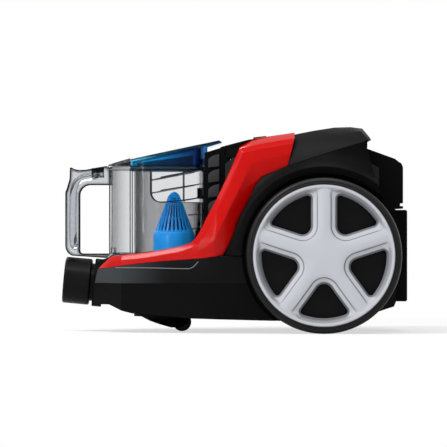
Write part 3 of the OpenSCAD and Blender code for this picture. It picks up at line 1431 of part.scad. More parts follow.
board_t = 1.6;
board_z = casing_top_z + seat + 2;
stem_r = 2.5;
stem_hole_r = stem_r + 0.7;
spring_seat_z = board_z + board_t;
spring_seat_r = button_spring_d / 2 + 2;
module circuit_board() {
    board_l = 44;
    board_x = button_x - board_l / 2 + 2;
    color([0.1, 0.4, 0.2]) difference() {
        union() {
            translate([board_x, -52, board_z]) cube([board_l, 60, board_t]);
            for (dx = [4, board_l - 4]) for (y = [-48, 4]) translate([board_x + dx, y, casing_top_z + seat]) cylinder(r = 2.5, h = 3);
            for (dy = [-12, 12]) translate([button_x - 4, -button_y + dy - 3, board_z + 1]) cube([8, 6, 5]);
        }
        translate([button_x, -button_y, board_z - 3]) cylinder(r = stem_hole_r, h = 8);
    }
}
button_top_z = deck_top(button_x) + button_travel - 0.4;
// A button: a tilted cap with a skirt and a round stem.
module push_button(side, stem_z) {
    skirt = 7;
    color([0.12, 0.12, 0.13]) translate([button_x, side * button_y, 0]) difference() {
        union() {
            intersection() {
                bar(-button_l / 2, button_w / 2, button_top_z - skirt, button_l, skirt + 6);
                prism_y([
                    [-button_l, button_top_z - skirt], [button_l, button_top_z - skirt],
                    [button_l, button_top_z + button_l * tan(deck_tilt)], [-button_l, button_top_z - button_l * tan(deck_tilt)]
                ], -button_w, button_w);
            }
            translate([0, 0, stem_z]) cylinder(r = stem_r, h = button_top_z - 2 - stem_z);
        }
        difference() {
            bar(-button_l / 2 + 1.5, button_w / 2 - 1.5, button_top_z - skirt - 1, button_l - 3, skirt - 2.5);
            translate([0, 0, stem_z - 1]) cylinder(r = stem_r, h = button_top_z - stem_z);
        }
    }
}
module power_button() { push_button(-1, casing_top_z - 1); }
module rewind_button() { push_button(1, lever_z + lever_drop + seat); }
module button_springs() {
    color([0.75, 0.75, 0.77]) both() translate([button_x, button_y, 0])
        coil_spring(button_spring_d / 2 - 0.6, 0.6, spring_seat_z + 0.2, button_top_z - 3.8, 5);
}

/* ---- Exhaust ---- */

module exhaust_grille() {
    x1 = housing_rear_x;
    t = 3;
    slot_h = (grille_h - 8) / (2 * slot_count - 1);
    color([0.14, 0.14, 0.15]) difference() {
        union() {
            bar(x1 - t, grille_w / 2, grille_z, t, grille_h);
            bar(x1 - t - filter_t - 1, grille_w / 2 - 3, grille_z + 2.5, filter_t + 2, grille_h - 5);
        }
        bar(x1 - t - filter_t - 2, grille_w / 2 - 5, grille_z + 4.5, filter_t + 2, grille_h - 9);
        for (i = [0:slot_count - 1]) for (side = [-1, 1])
            translate([x1 - t - 1, side > 0 ? 2 : 6 - grille_w / 2, grille_z + 4 + 2 * i * slot_h])
                cube([t + 2, grille_w / 2 - 8, slot_h]);
    }
}
module exhaust_filter() {
    x1 = housing_rear_x - 3 - seat;
    color([0.9, 0.9, 0.88]) bar(x1 - filter_t, grille_w / 2 - 5 - seat, grille_z + 4.5 + seat, filter_t, grille_h - 9 - 2 * seat);
}

lower_chassis();
bay_floor();
inner_casing();
left_rail();
right_rail();
left_side_panel();
right_side_panel();
left_arch_panel();
right_arch_panel();
rear_hood();
top_deck();
louvre_wall();
rear_housing();
rear_foot();
cord_gland();
panel_screws();
left_axle();
right_axle();
left_tyre();
left_wheel_disc();
left_spoke_cap();
right_tyre();
right_wheel_disc();
right_spoke_cap();
caster_turntable();
caster_axle();
caster_wheel();
hose_collar();
collar_seal();
inlet_duct();
duct_seal();
dust_container();
container_handle();
cyclone_wall();
cyclone_cone();
rear_key();
release_button();
release_spring();
container_lid();
lid_front();
lid_seal();
pre_motor_filter();
motor_housing();
motor_can();
front_motor_mount();
rear_motor_mount();
fan_cover();
fan_impeller();
motor_rotor();
reel_bracket();
reel_axle();
reel_drum();
reel_mainspring();
brake_lever();
circuit_board();
power_button();
rewind_button();
button_springs();
exhaust_grille();
exhaust_filter();
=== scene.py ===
# %% [markdown]
# # A bagless canister vacuum cleaner
# The real thing is a low shell on two large wheels and a small front caster. A clear dust
# container stands in a bay behind the hose collar, and a red panel sweeps up each side from the
# nose to the hood. This lesson dresses the construction model: it gives every carried-over solid
# a finish, and makes anew the pieces whose form is too fine for plain solids.

# %% Load the construction model
import math

import bmesh
import bpy
import numpy as np
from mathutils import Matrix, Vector


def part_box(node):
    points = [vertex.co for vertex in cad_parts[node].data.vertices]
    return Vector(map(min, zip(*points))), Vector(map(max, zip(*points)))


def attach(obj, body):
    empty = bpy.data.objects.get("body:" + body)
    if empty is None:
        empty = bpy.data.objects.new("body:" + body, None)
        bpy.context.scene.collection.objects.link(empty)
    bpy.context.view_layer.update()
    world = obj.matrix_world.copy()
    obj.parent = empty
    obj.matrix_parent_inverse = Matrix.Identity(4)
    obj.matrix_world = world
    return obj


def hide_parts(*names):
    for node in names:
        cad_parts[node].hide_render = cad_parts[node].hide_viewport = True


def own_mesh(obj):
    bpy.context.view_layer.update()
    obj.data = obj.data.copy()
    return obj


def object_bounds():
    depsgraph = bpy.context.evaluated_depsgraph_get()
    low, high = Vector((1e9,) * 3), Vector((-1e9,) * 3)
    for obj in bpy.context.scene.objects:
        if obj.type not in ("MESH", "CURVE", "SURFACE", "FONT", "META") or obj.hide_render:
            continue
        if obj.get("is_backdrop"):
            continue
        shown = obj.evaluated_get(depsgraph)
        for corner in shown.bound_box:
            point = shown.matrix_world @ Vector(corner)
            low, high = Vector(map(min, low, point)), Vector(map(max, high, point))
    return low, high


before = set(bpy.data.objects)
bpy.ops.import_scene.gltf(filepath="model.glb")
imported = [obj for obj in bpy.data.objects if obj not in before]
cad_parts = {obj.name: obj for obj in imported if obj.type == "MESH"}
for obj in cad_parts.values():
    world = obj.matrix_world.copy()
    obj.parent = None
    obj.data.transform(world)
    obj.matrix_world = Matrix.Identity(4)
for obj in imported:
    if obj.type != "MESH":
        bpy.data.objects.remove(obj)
cad_low, cad_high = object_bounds()
MM = 0.001
SIDES = (("left", -1), ("right", 1))
print("box in mm:", [round(side / MM, 1) for side in cad_high - cad_low])

# %% [markdown]
# ## Camera
# The cleaner is seen square from its left side, from five metres away with a long lens. The
# distance keeps the near wheel only slightly larger than the middle of the body, as in a product
# picture, and the camera looks along +Y at the height of the middle of the object.

# %% Camera
VIEW_DISTANCE = 5.0
VIEW_CENTRE_X = -0.012
VIEW_HEIGHT = 0.1285
FRAME_WIDTH = 0.5342

camera_data = bpy.data.cameras.new("side_camera")
camera_data.sensor_width = 36.0
camera_data.lens = camera_data.sensor_width * VIEW_DISTANCE / FRAME_WIDTH
camera_data.clip_start = 0.1
camera_data.clip_end = 100
camera = bpy.data.objects.new("side_camera", camera_data)
camera.location = (VIEW_CENTRE_X, -VIEW_DISTANCE, VIEW_HEIGHT)
camera.rotation_euler = (math.radians(90), 0, 0)
bpy.context.collection.objects.link(camera)
bpy.context.scene.camera = camera
print(f"lens {camera_data.lens:.1f} mm")

# %% [markdown]
# ## Building shader nodes
# A material is a graph. Adding each node in one call, with its inputs named beside it, keeps the
# graph as easy to read as a sum. An input takes either a plain value or another node's output.


# %% Helpers for nodes and colours
def add(tree, kind, inputs=None, **settings):
    """Adds a node of this kind, sets its options, and fills or links its inputs."""
    made = tree.nodes.new(kind)
    for key, value in settings.items():
        setattr(made, key, value)
    for key, value in (inputs or {}).items():
        if isinstance(value, bpy.types.NodeSocket):
            tree.links.new(value, made.inputs[key])
        else:
            made.inputs[key].default_value = value
    return made


def tone(red, green, blue):
    """A screen colour from 0 to 255 as the linear colour that shaders use."""
    screen = np.array([red, green, blue]) / 255
    linear = np.where(screen <= 0.04045, screen / 12.92, ((screen + 0.055) / 1.055) ** 2.4)
    return (*linear.tolist(), 1.0)


def empty_tree(owner):
    """The node tree of a new material or world, without the nodes that come with it."""
    owner.use_nodes = True
    owner.node_tree.nodes.clear()
    return owner.node_tree


print("mid grey is", round(tone(128, 128, 128)[0], 3), "in linear light")

# %% [markdown]
# ## Soft studio
# The key lamp hangs above the nose on the camera's side, and a weak fill lamp answers it from above
# the tail. Two narrow strips, one upright and one overhead, draw the long highlights. A broad lamp
# lights the upper faces, and one more stands on the far side. A bright world would be simpler, but
# it would turn black plastic grey. So the world is white only to the camera, to reflections and to
# light that passes through clear plastic, and it lights the object weakly.

# %% World and lamps
AMBIENT = 0.17
# Place in metres, width and height in metres, and watts.
LAMPS = {
    "key_lamp": ((-1.25, -0.85, 1.75), 0.6, 0.6, 34),
    "fill_lamp": ((1.2, -1.6, 1.5), 0.8, 0.8, 4),
    "side_strip": ((-1.5, -1.9, 0.6), 0.2, 1.0, 7),
    "strip_lamp": ((0.0, -1.15, 2.1), 1.8, 0.14, 21),
    "back_lamp": ((0.3, 0.25, 2.3), 1.4, 1.2, 9),
    "far_side_lamp": ((-0.7, 2.0, 1.1), 1.0, 0.8, 16),
}


def make_world(ambient):
    """A white world for the eye, for gloss and for clear plastic, and a dim one for matt surfaces."""
    world = bpy.data.worlds.new("studio")
    tree = empty_tree(world)
    path = add(tree, "ShaderNodeLightPath")
    seen = add(tree, "ShaderNodeMath", {0: path.outputs["Is Camera Ray"], 1: path.outputs["Is Glossy Ray"]},
               operation="MAXIMUM")
    seen = add(tree, "ShaderNodeMath", {0: seen.outputs[0], 1: path.outputs["Is Transmission Ray"]},
               operation="MAXIMUM")
    strength = add(tree, "ShaderNodeMapRange", {"Value": seen.outputs[0], "To Min": ambient, "To Max": 1.0})
    sky = add(tree, "ShaderNodeBackground", {"Color": (1, 1, 1, 1), "Strength": strength.outputs[0]})
    add(tree, "ShaderNodeOutputWorld", {"Surface": sky.outputs[0]})
    bpy.context.scene.world = world


def add_lamp(name, place, aim, width, height, watts):
    """A rectangular lamp at a place, turned to shine at a point."""
    data = bpy.data.lights.new(name, "AREA")
    data.shape = "RECTANGLE"
    data.size = width
    data.size_y = height
    data.energy = watts
    lamp = bpy.data.objects.new(name, data)
    lamp.location = place
    lamp.rotation_euler = (Vector(aim) - Vector(place)).to_track_quat("-Z", "Y").to_euler()
    bpy.context.collection.objects.link(lamp)


make_world(AMBIENT)
for name, (place, width, height, watts) in LAMPS.items():
    add_lamp(name, place, (cad_low + cad_high) / 2, width, height, watts)
bpy.context.scene.view_settings.view_transform = "Standard"
print("lamps:", [lamp.name for lamp in bpy.data.lights])

# %% [markdown]
# ## Floor
# The floor is pale and plain. Close to the object it takes light as a matt surface does, so it
# holds a soft shadow. Further out it turns to plain white for the camera, which hides its edge.

# %% Floor
FLOOR_HALF_WIDTH = 12.0
SHADE_RADIUS = 0.45
SHADE_SHARE = 0.35
FLOOR_TONE = (0.86, 0.86, 0.86, 1)


def make_floor():
    """A white plane whose middle keeps part of the object's shadow and whose rest is plain white."""
    floor_material = bpy.data.materials.new("studio_floor")
    tree = empty_tree(floor_material)
    matt = add(tree, "ShaderNodeBsdfDiffuse", {"Color": FLOOR_TONE})
    plain = add(tree, "ShaderNodeEmission", {"Color": (1, 1, 1, 1), "Strength": 1.0})
    place = add(tree, "ShaderNodeTexCoord")
    distance = add(tree, "ShaderNodeVectorMath", {0: place.outputs["Object"]}, operation="LENGTH")
    near = add(tree, "ShaderNodeMapRange", {
        "Value": distance.outputs["Value"], "From Min": SHADE_RADIUS, "From Max": 2 * SHADE_RADIUS,
        "To Min": SHADE_SHARE, "To Max": 0.0}, interpolation_type="SMOOTHSTEP")
    path = add(tree, "ShaderNodeLightPath")
    unseen = add(tree, "ShaderNodeMath", {0: 1.0, 1: path.outputs["Is Camera Ray"]}, operation="SUBTRACT")
    share = add(tree, "ShaderNodeMath", {0: near.outputs[0], 1: unseen.outputs[0]}, operation="MAXIMUM")
    mixed = add(tree, "ShaderNodeMixShader", {0: share.outputs[0], 1: plain.outputs[0], 2: matt.outputs[0]})
    add(tree, "ShaderNodeOutputMaterial", {"Surface": mixed.outputs[0]})
    mesh = bpy.data.meshes.new("studio_floor")
    corners = FLOOR_HALF_WIDTH * np.array([(-1, -1, 0), (1, -1, 0), (1, 1, 0), (-1, 1, 0)])
    mesh.from_pydata(corners.tolist(), [], [(0, 1, 2, 3)])
    mesh.materials.append(floor_material)
    floor = bpy.data.objects.new("studio_floor", mesh)
    bpy.context.collection.objects.link(floor)
    floor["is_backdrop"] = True


make_floor()
print("floor laid,", 2 * FLOOR_HALF_WIDTH, "m wide")

# %% [markdown]
# ## Grain and soft edges
# Some effects turn up on many finishes, so each is a node group with named inputs. The fine grain
# is what a spark-eroded mould leaves on plastic. The soft edge rounds every sharp edge for the
# light alone, as a mould's small radii do, and its mask tells a finish where the edges are.

# %% Node groups for grain and soft edges
GRAIN_SCALE = 900.0
CLOUD_SCALE = 34.0
EDGE_RADIUS = 0.0008


def new_group(name, inputs, outputs):
    """An empty shader group with its sockets, and its input and output nodes."""
    group = bpy.data.node_groups.new(name, "ShaderNodeTree")
    for label, kind, value in inputs:
        group.interface.new_socket(label, in_out="INPUT", socket_type=kind).default_value = value
    for label, kind in outputs:
        group.interface.new_socket(label, in_out="OUTPUT", socket_type=kind)
    return group, add(group, "NodeGroupInput"), add(group, "NodeGroupOutput")


def make_grain_group():
    """Height from fine noise, and a roughness that coarse noise moves up and down by the spread."""
    group, given, result = new_group(
        "moulded grain",
        [("Scale", "NodeSocketFloat", GRAIN_SCALE), ("Roughness", "NodeSocketFloat", 0.5),
         ("Spread", "NodeSocketFloat", 0.1)],
        [("Height", "NodeSocketFloat"), ("Roughness", "NodeSocketFloat")],
    )
    place = add(group, "ShaderNodeTexCoord")
    fine = add(group, "ShaderNodeTexNoise", {
        "Vector": place.outputs["Object"], "Scale": given.outputs["Scale"], "Detail": 3.0, "Roughness": 0.6})
    coarse = add(group, "ShaderNodeTexNoise", {
        "Vector": place.outputs["Object"], "Scale": CLOUD_SCALE, "Detail": 2.0})
    centred = add(group, "ShaderNodeMath", {0: coarse.outputs["Fac"], 1: 0.5}, operation="SUBTRACT")
    change = add(group, "ShaderNodeMath", {
        0: centred.outputs[0], 1: given.outputs["Spread"], 2: given.outputs["Roughness"]},
        operation="MULTIPLY_ADD")
    group.links.new(fine.outputs["Fac"], result.inputs["Height"])
    group.links.new(change.outputs[0], result.inputs["Roughness"])
    return group


def make_edge_group():
    """A normal that turns smoothly over edges within a radius, and a mask of where it does."""
    group, given, result = new_group(
        "soft edge",
        [("Radius", "NodeSocketFloat", EDGE_RADIUS)],
        [("Normal", "NodeSocketVector"), ("Edge", "NodeSocketFloat")],
    )
    rounded = add(group, "ShaderNodeBevel", {"Radius": given.outputs["Radius"]}, samples=4)
    surface = add(group, "ShaderNodeNewGeometry")
    alike = add(group, "ShaderNodeVectorMath", {0: rounded.outputs[0], 1: surface.outputs["Normal"]},
                operation="DOT_PRODUCT")
    mask = add(group, "ShaderNodeMapRange", {
        "Value": alike.outputs["Value"], "From Min": 0.985, "From Max": 0.95, "To Min": 0.0, "To Max": 1.0})
    group.links.new(rounded.outputs[0], result.inputs["Normal"])
    group.links.new(mask.outputs[0], result.inputs["Edge"])
    return group


GRAIN = make_grain_group()
SOFT_EDGE = make_edge_group()
print("groups:", [group.name for group in (GRAIN, SOFT_EDGE)])

# %% [markdown]
# ## Drift and run of a colour
# No moulding has quite the same colour all over, so each colour drifts a little. Some pieces also
# change from front to rear. On the rails, the hood and the arch panels that change is painted light
# and shade, as a shell looks that turns away from the light; on the lid it is a tint that deepens as
# its clear sheet gets thicker. Both changes are groups too.

# %% Node groups for the drift and the run of a colour
DRIFT_SCALE = 14.0
MID_GREY = (0.5, 0.5, 0.5, 1)


def make_drift_group():
    """A colour that drifts between a slightly darker and a slightly lighter copy of itself."""
    group, given, result = new_group(
        "colour drift",
        [("Color", "NodeSocketColor", MID_GREY), ("Amount", "NodeSocketFloat", 0.06)],
        [("Color", "NodeSocketColor")],
    )
    place = add(group, "ShaderNodeTexCoord")
    broad = add(group, "ShaderNodeTexNoise", {
        "Vector": place.outputs["Object"], "Scale": DRIFT_SCALE, "Detail": 3.0})
    centred = add(group, "ShaderNodeMath", {0: broad.outputs["Fac"], 1: 0.5}, operation="SUBTRACT")
    factor = add(group, "ShaderNodeMath", {0: centred.outputs[0], 1: given.outputs["Amount"], 2: 1.0},
                 operation="MULTIPLY_ADD")
    scaled = add(group, "ShaderNodeVectorMath", {0: given.outputs["Color"], 3: factor.outputs[0]},
                 operation="SCALE")
    group.links.new(scaled.outputs[0], result.inputs["Color"])
    return group


def make_run_group():
    """A colour that runs from the first to the second between two places along X, with soft ends."""
    group, given, result = new_group(
        "colour run",
        [("First", "NodeSocketColor", MID_GREY), ("Second", "NodeSocketColor", MID_GREY),
         ("Start", "NodeSocketFloat", 0.0), ("End", "NodeSocketFloat", 0.1)],
        [("Color", "NodeSocketColor")],
    )
    place = add(group, "ShaderNodeTexCoord")
    parts = add(group, "ShaderNodeSeparateXYZ", {0: place.outputs["Object"]})
    share = add(group, "ShaderNodeMapRange", {
        "Value": parts.outputs["X"], "From Min": given.outputs["Start"], "From Max": given.outputs["End"]},
        interpolation_type="SMOOTHSTEP")
    mixed = add(group, "ShaderNodeMix", {
        "Factor": share.outputs[0], "A": given.outputs["First"], "B": given.outputs["Second"]},
        data_type="RGBA")
    group.links.new(mixed.outputs[2], result.inputs["Color"])
    return group


DRIFT = make_drift_group()
COLOUR_RUN = make_run_group()


def run_of_colour(tree, first, fade):
    """Places the colour run: fade is the second colour and the X, in metres, of both its ends."""
    second, start, end = fade
    placed = add(tree, "ShaderNodeGroup", {"First": first, "Second": second, "Start": start, "End": end},
                 node_tree=COLOUR_RUN)
    return placed.outputs["Color"]


print("groups:", [group.name for group in (DRIFT, COLOUR_RUN)])

# %% [markdown]
# ## Opaque plastics, rubber and metal
# All opaque finishes share one graph: a drifting colour, a grained roughness, and a grain height
# on top of the soft edges. What differs is only the numbers, so one function makes them all.

# %% The opaque finish
PAINTED_GLOW_STRENGTH = 0.6


def opaque(name, color, roughness, grain=GRAIN_SCALE, depth=0.00002, spread=0.1, edge=EDGE_RADIUS,
           drift=0.08, specular=0.5, metallic=0.0, ior=1.45, flop_and_shade=0.0, painted_glow=None, fade=None):
    """A moulded, painted, rubber or metal finish.

    Flop and shade darkens it where it turns away from the eye: partly the flop of a metallic paint,
    partly painted shade on slopes and walls. Painted glow is emission that stands in for the light
    that a translucent plastic passes on from behind; the part is no lamp. Fade is a second colour and
    the two places along X between which the first turns into it, in metres; on the shells that use
    it, it is painted light and shade.
    """
    material = bpy.data.materials.new(name)
    tree = empty_tree(material)
    shown = run_of_colour(tree, color, fade) if fade else color
    shade = add(tree, "ShaderNodeGroup", {"Color": shown, "Amount": drift}, node_tree=DRIFT)
    corner = add(tree, "ShaderNodeGroup", {"Radius": edge}, node_tree=SOFT_EDGE)
    surface = add(tree, "ShaderNodeGroup", {"Scale": grain, "Roughness": roughness, "Spread": spread},
                  node_tree=GRAIN)
    bump = add(tree, "ShaderNodeBump", {"Height": surface.outputs["Height"], "Distance": depth,
                                        "Strength": 1.0, "Normal": corner.outputs["Normal"]})
    base = shade.outputs["Color"]
    if flop_and_shade:
        facing = add(tree, "ShaderNodeLayerWeight", {"Blend": 0.5})
        dark = add(tree, "ShaderNodeMapRange", {
            "Value": facing.outputs["Facing"], "From Min": 0.02, "From Max": 0.3,
            "To Min": 1.0, "To Max": 1.0 - flop_and_shade})
        base = add(tree, "ShaderNodeVectorMath", {0: base, 3: dark.outputs[0]}, operation="SCALE").outputs[0]
    shader = add(tree, "ShaderNodeBsdfPrincipled", {
        "Base Color": base, "Roughness": surface.outputs["Roughness"], "Normal": bump.outputs[0],
        "Metallic": metallic, "Specular IOR Level": specular, "IOR": ior})
    # Painted glow: emission in place of light that the plastic passes on from behind.
    if painted_glow:
        shader.inputs["Emission Color"].default_value = (*painted_glow, 1)
        shader.inputs["Emission Strength"].default_value = PAINTED_GLOW_STRENGTH
    add(tree, "ShaderNodeOutputMaterial", {"Surface": shader.outputs[0]})
    return material


print("opaque finish ready")

# %% [markdown]
# ## The opaque finishes
# The shell is black and grey plastic in a few grains, the side panels are glossy red, and the caps
# wear silver paint. The hidden pieces get what such pieces are made of: turned steel, natural
# plastic, pressed metal, copper, a green board, foam and fleece.

# %% Opaque finishes of the shell and the wheels
RED_GLOSS = opaque("red_gloss", tone(180, 8, 5), 0.2, grain=700, depth=0.000002, spread=0.03, edge=0.0012,
                   specular=0.6, ior=1.2)
BLACK_GRAINED = opaque("black_grained", tone(7, 7, 8), 0.45, specular=0.045)
BLACK_SATIN = opaque("black_satin", tone(12, 12, 13), 0.36, grain=1200, depth=0.000008, specular=0.09)
# The rails' lighter front, fading to near black towards the rear, is a painted reflection.
SATIN_PAINTED_SHEEN = opaque("satin_painted_sheen", tone(52, 56, 59), 0.34, grain=1200, depth=0.000008, specular=0.1,
                    fade=(tone(3, 3, 4), -0.15, -0.07))
# Painted highlight: the seam's light grey stands in for light caught on its edge.
SEAM_PAINTED_HIGHLIGHT = opaque("seam_painted_highlight", tone(120, 122, 124), 0.4, specular=0.2)
# The hood darkens from its front to its rear: painted shade.
HOOD_GREY = opaque("hood_grey", tone(19, 19, 20), 0.42, specular=0.07, fade=(tone(8, 8, 9), 0.075, 0.185))
# The arch panels are lighter at the front and near black to the rear: painted light and shade.
ARCH_BLACK = opaque("arch_black", tone(14, 14, 15), 0.45, specular=0.045,
                    fade=(tone(2, 2, 2), -0.005, 0.075))
LOUVRE_GREY = opaque("louvre_grey", tone(49, 50, 52), 0.45, specular=0.15)
# Its flop is partly the paint's own and partly painted shade on the cap's window walls and slopes.
SILVER_PAINT = opaque("silver_paint", tone(186, 188, 195), 0.34, grain=2600, depth=0.000005, edge=0.0004,
                      specular=0.4, flop_and_shade=0.7)
TYRE_RUBBER = opaque("tyre_rubber", tone(9, 9, 9), 0.38, grain=500, depth=0.00003, drift=0.2, specular=0.24)
SEAL_RUBBER = opaque("seal_rubber", tone(18, 18, 18), 0.7, grain=600)
CAGE_BLACK = opaque("cage_black", tone(14, 16, 20), 0.4, specular=0.1)
# Painted glow: the cone's emission stands in for the light that its translucent blue passes on.
CONE_BLUE = opaque("cone_blue", tone(2, 148, 234), 0.25, grain=700, depth=0.000004, edge=0.0004,
                   specular=0.35, painted_glow=(0.0, 0.13, 0.32))
# Painted shade: the dark navy core stands for the shaded hollow inside the cone.
CORE_PAINTED_SHADE = opaque("core_painted_shade", tone(3, 26, 76), 0.5, specular=0.1)
print("finishes of the shell and the wheels made")

# %% Opaque finishes of the hidden pieces
CASING_GREY = opaque("casing_grey", tone(26, 27, 28), 0.55, specular=0.1)
TURNED_STEEL = opaque("turned_steel", tone(190, 192, 196), 0.28, metallic=1.0)
SPRING_STEEL = opaque("spring_steel", tone(196, 198, 202), 0.2, metallic=1.0)
NATURAL_PLASTIC = opaque("natural_plastic", tone(214, 212, 204), 0.45)
PRESSED_METAL = opaque("pressed_metal", tone(186, 188, 192), 0.35, metallic=1.0)
COPPER_WINDING = opaque("copper_winding", tone(176, 104, 60), 0.4, grain=300, depth=0.0001, metallic=0.8)
BOARD_GREEN = opaque("board_green", tone(28, 98, 54), 0.4)
FOAM_BLUE = opaque("foam_blue", tone(52, 58, 74), 0.9, grain=420, depth=0.0004, drift=0.3)
FLEECE_WHITE = opaque("fleece_white", tone(232, 232, 226), 0.9, grain=360, depth=0.0003)
print("finishes of the hidden pieces made")

# %% [markdown]
# ## Clear plastic
# The container is polycarbonate. A ray tracer bends light through the real wall thickness, which
# gives some of the dark and bright lines at its edges. The finish adds painted shade along the
# edges and towards grazing view. Lamps would cast a solid shadow through it, so for shadow rays
# alone the plastic lets light straight through. Its index is set low, because each wall is thin
# and its two faces nearly cancel each other's bending.

# %% The clear finishes
CLEAR_IOR = 1.15
SHADOW_TINT = 0.12
# Share of the painted shade along edges.
EDGE_DARKENING = 0.9


def clear(name, tint, dark, edge=0.0022, rim=0.9, fade=None):
    """Clear plastic with painted shade. It darkens towards grazing view and along edges, standing in for
    light that leaves sideways there.

    The larger of the two darkenings counts. Fade is a second tint and its places along X.
    """
    material = bpy.data.materials.new(name)
    tree = empty_tree(material)
    corner = add(tree, "ShaderNodeGroup", {"Radius": edge}, node_tree=SOFT_EDGE)
    shown = run_of_colour(tree, tint, fade) if fade else tint
    # Painted shade: the tint turns to the dark colour towards grazing view and along edges.
    facing = add(tree, "ShaderNodeLayerWeight", {"Blend": 0.5})
    turned = add(tree, "ShaderNodeMapRange", {
        "Value": facing.outputs["Facing"], "From Min": 0.12, "From Max": 0.6, "To Min": 0.0, "To Max": rim},
        interpolation_type="SMOOTHSTEP")
    outline = add(tree, "ShaderNodeMath", {0: corner.outputs["Edge"], 1: EDGE_DARKENING},
                  operation="MULTIPLY")
    darker = add(tree, "ShaderNodeMath", {0: turned.outputs[0], 1: outline.outputs[0]}, operation="MAXIMUM")
    shaded = add(tree, "ShaderNodeMix", {"Factor": darker.outputs[0], "A": shown, "B": dark},
                 data_type="RGBA")
    shader = add(tree, "ShaderNodeBsdfPrincipled", {
        "Base Color": shaded.outputs[2], "Roughness": 0.0, "IOR": CLEAR_IOR,
        "Transmission Weight": 1.0, "Normal": corner.outputs["Normal"]})
    passed = (*[channel**SHADOW_TINT for channel in tint[:3]], 1)
    through = add(tree, "ShaderNodeBsdfTransparent", {"Color": passed})
    path = add(tree, "ShaderNodeLightPath")
    mixed = add(tree, "ShaderNodeMixShader", {
        0: path.outputs["Is Shadow Ray"], 1: shader.outputs[0], 2: through.outputs[0]})
    add(tree, "ShaderNodeOutputMaterial", {"Surface": mixed.outputs[0]})
    return material


# Colour of the painted shade at clear edges and towards grazing view.
PAINTED_EDGE_SHADE = tone(38, 40, 44)
SMOKE_CLEAR = clear("smoke_clear", tone(236, 237, 238), PAINTED_EDGE_SHADE, rim=0.38)
HANDLE_CLEAR = clear("handle_clear", tone(200, 204, 208), tone(3, 3, 4), edge=0.005)
HOLLOW_CLEAR = clear("hollow_clear", tone(226, 228, 231), PAINTED_EDGE_SHADE, rim=0.6)
WALL_CLEAR = clear("wall_clear", tone(212, 212, 213), PAINTED_EDGE_SHADE, edge=0.0015, rim=0.7)
LID_CLEAR = clear("lid_clear", tone(112, 116, 122), tone(12, 13, 14))
LID_BLUE = clear("lid_blue", tone(86, 192, 230), tone(8, 16, 34), edge=0.0032,
                 fade=(tone(42, 100, 154), -0.11, -0.035))
print("clear finishes made")

# %% [markdown]
# ## Finishing a solid
# A solid from the construction model arrives as loose triangles. A small geometry node group
# joins them and shades them smooth, except across edges sharper than a set angle, and the solid
# keeps its own mesh. The solids that later cells make anew are left out here.

# %% Smooth faces and crisp edges for a solid
CREASE_DEGREES = 28
JOIN_DISTANCE = 0.00001


def make_shading_group(crease):
    """Joins loose triangles, then shades faces smooth and edges over the crease angle sharp."""
    group = bpy.data.node_groups.new("smooth faces, crisp edges", "GeometryNodeTree")
    group.interface.new_socket("Geometry", in_out="INPUT", socket_type="NodeSocketGeometry")
    group.interface.new_socket("Geometry", in_out="OUTPUT", socket_type="NodeSocketGeometry")
    given = add(group, "NodeGroupInput")
    joined = add(group, "GeometryNodeMergeByDistance", {
        "Geometry": given.outputs[0], "Distance": JOIN_DISTANCE})
    smooth = add(group, "GeometryNodeSetShadeSmooth", {"Geometry": joined.outputs[0], "Shade Smooth": True},
                 domain="FACE")
    angle = add(group, "GeometryNodeInputMeshEdgeAngle")
    sharp = add(group, "FunctionNodeCompare", {0: angle.outputs["Unsigned Angle"], 1: crease},
                operation="GREATER_THAN", data_type="FLOAT")
    crisp = add(group, "GeometryNodeSetShadeSmooth", {
        "Geometry": smooth.outputs[0], "Selection": sharp.outputs[0], "Shade Smooth": False}, domain="EDGE")
    add(group, "NodeGroupOutput", {0: crisp.outputs[0]})
    return group


CLEAN_SHADING = make_shading_group(math.radians(CREASE_DEGREES))


def dress(material, *names):
    """Gives carried-over solids a finish and clean shading."""
    for name in names:
        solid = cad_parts[name]
        solid.data.materials.clear()
        solid.data.materials.append(material)
        solid.modifiers.new("clean shading", "NODES").node_group = CLEAN_SHADING


dress(BLACK_GRAINED, "lower_chassis", "bay_floor", "top_deck", "rear_housing", "rear_foot", "cord_gland")
dress(SATIN_PAINTED_SHEEN, "left_rail", "right_rail")
dress(HOOD_GREY, "rear_hood")
dress(ARCH_BLACK, "left_arch_panel", "right_arch_panel")
dress(CASING_GREY, "inner_casing", "inlet_duct", "reel_bracket")
dress(LOUVRE_GREY, "louvre_wall")
dress(BLACK_SATIN, "hose_collar", "caster_turntable", "left_wheel_disc", "right_wheel_disc", "reel_drum",
      "rear_key", "release_button", "power_button", "rewind_button", "exhaust_grille")
dress(TYRE_RUBBER, "caster_wheel")
dress(SEAL_RUBBER, "collar_seal", "duct_seal", "lid_seal", "front_motor_mount", "rear_motor_mount")
dress(TURNED_STEEL, "left_axle", "right_axle", "caster_axle", "reel_axle", "panel_screws")
dress(SPRING_STEEL, "reel_mainspring")
dress(NATURAL_PLASTIC, "motor_housing", "brake_lever")
dress(PRESSED_METAL, "motor_can", "fan_cover", "fan_impeller")
dress(COPPER_WINDING, "motor_rotor")
dress(BOARD_GREEN, "circuit_board")
dress(FOAM_BLUE, "pre_motor_filter")
dress(FLEECE_WHITE, "exhaust_filter")
dress(SMOKE_CLEAR, "dust_container")
dress(HANDLE_CLEAR, "container_handle")
dress(WALL_CLEAR, "cyclone_wall")
dress(LID_CLEAR, "lid_front")
dress(LID_BLUE, "container_lid")
print(sum(bool(solid.modifiers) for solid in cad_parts.values()), "solids dressed")

# %% [markdown]
# ## Surfaces from grids of points
# Every new piece is a set of grids. A grid is a table of points with rows and columns, and each
# cell between four neighbours becomes one face. Grids that share an edge are then welded, so the
# piece is one closed skin. All sizes from here on are in millimetres until the mesh is made.

# %% From grids of points to a piece
BEVEL_DEGREES = 24


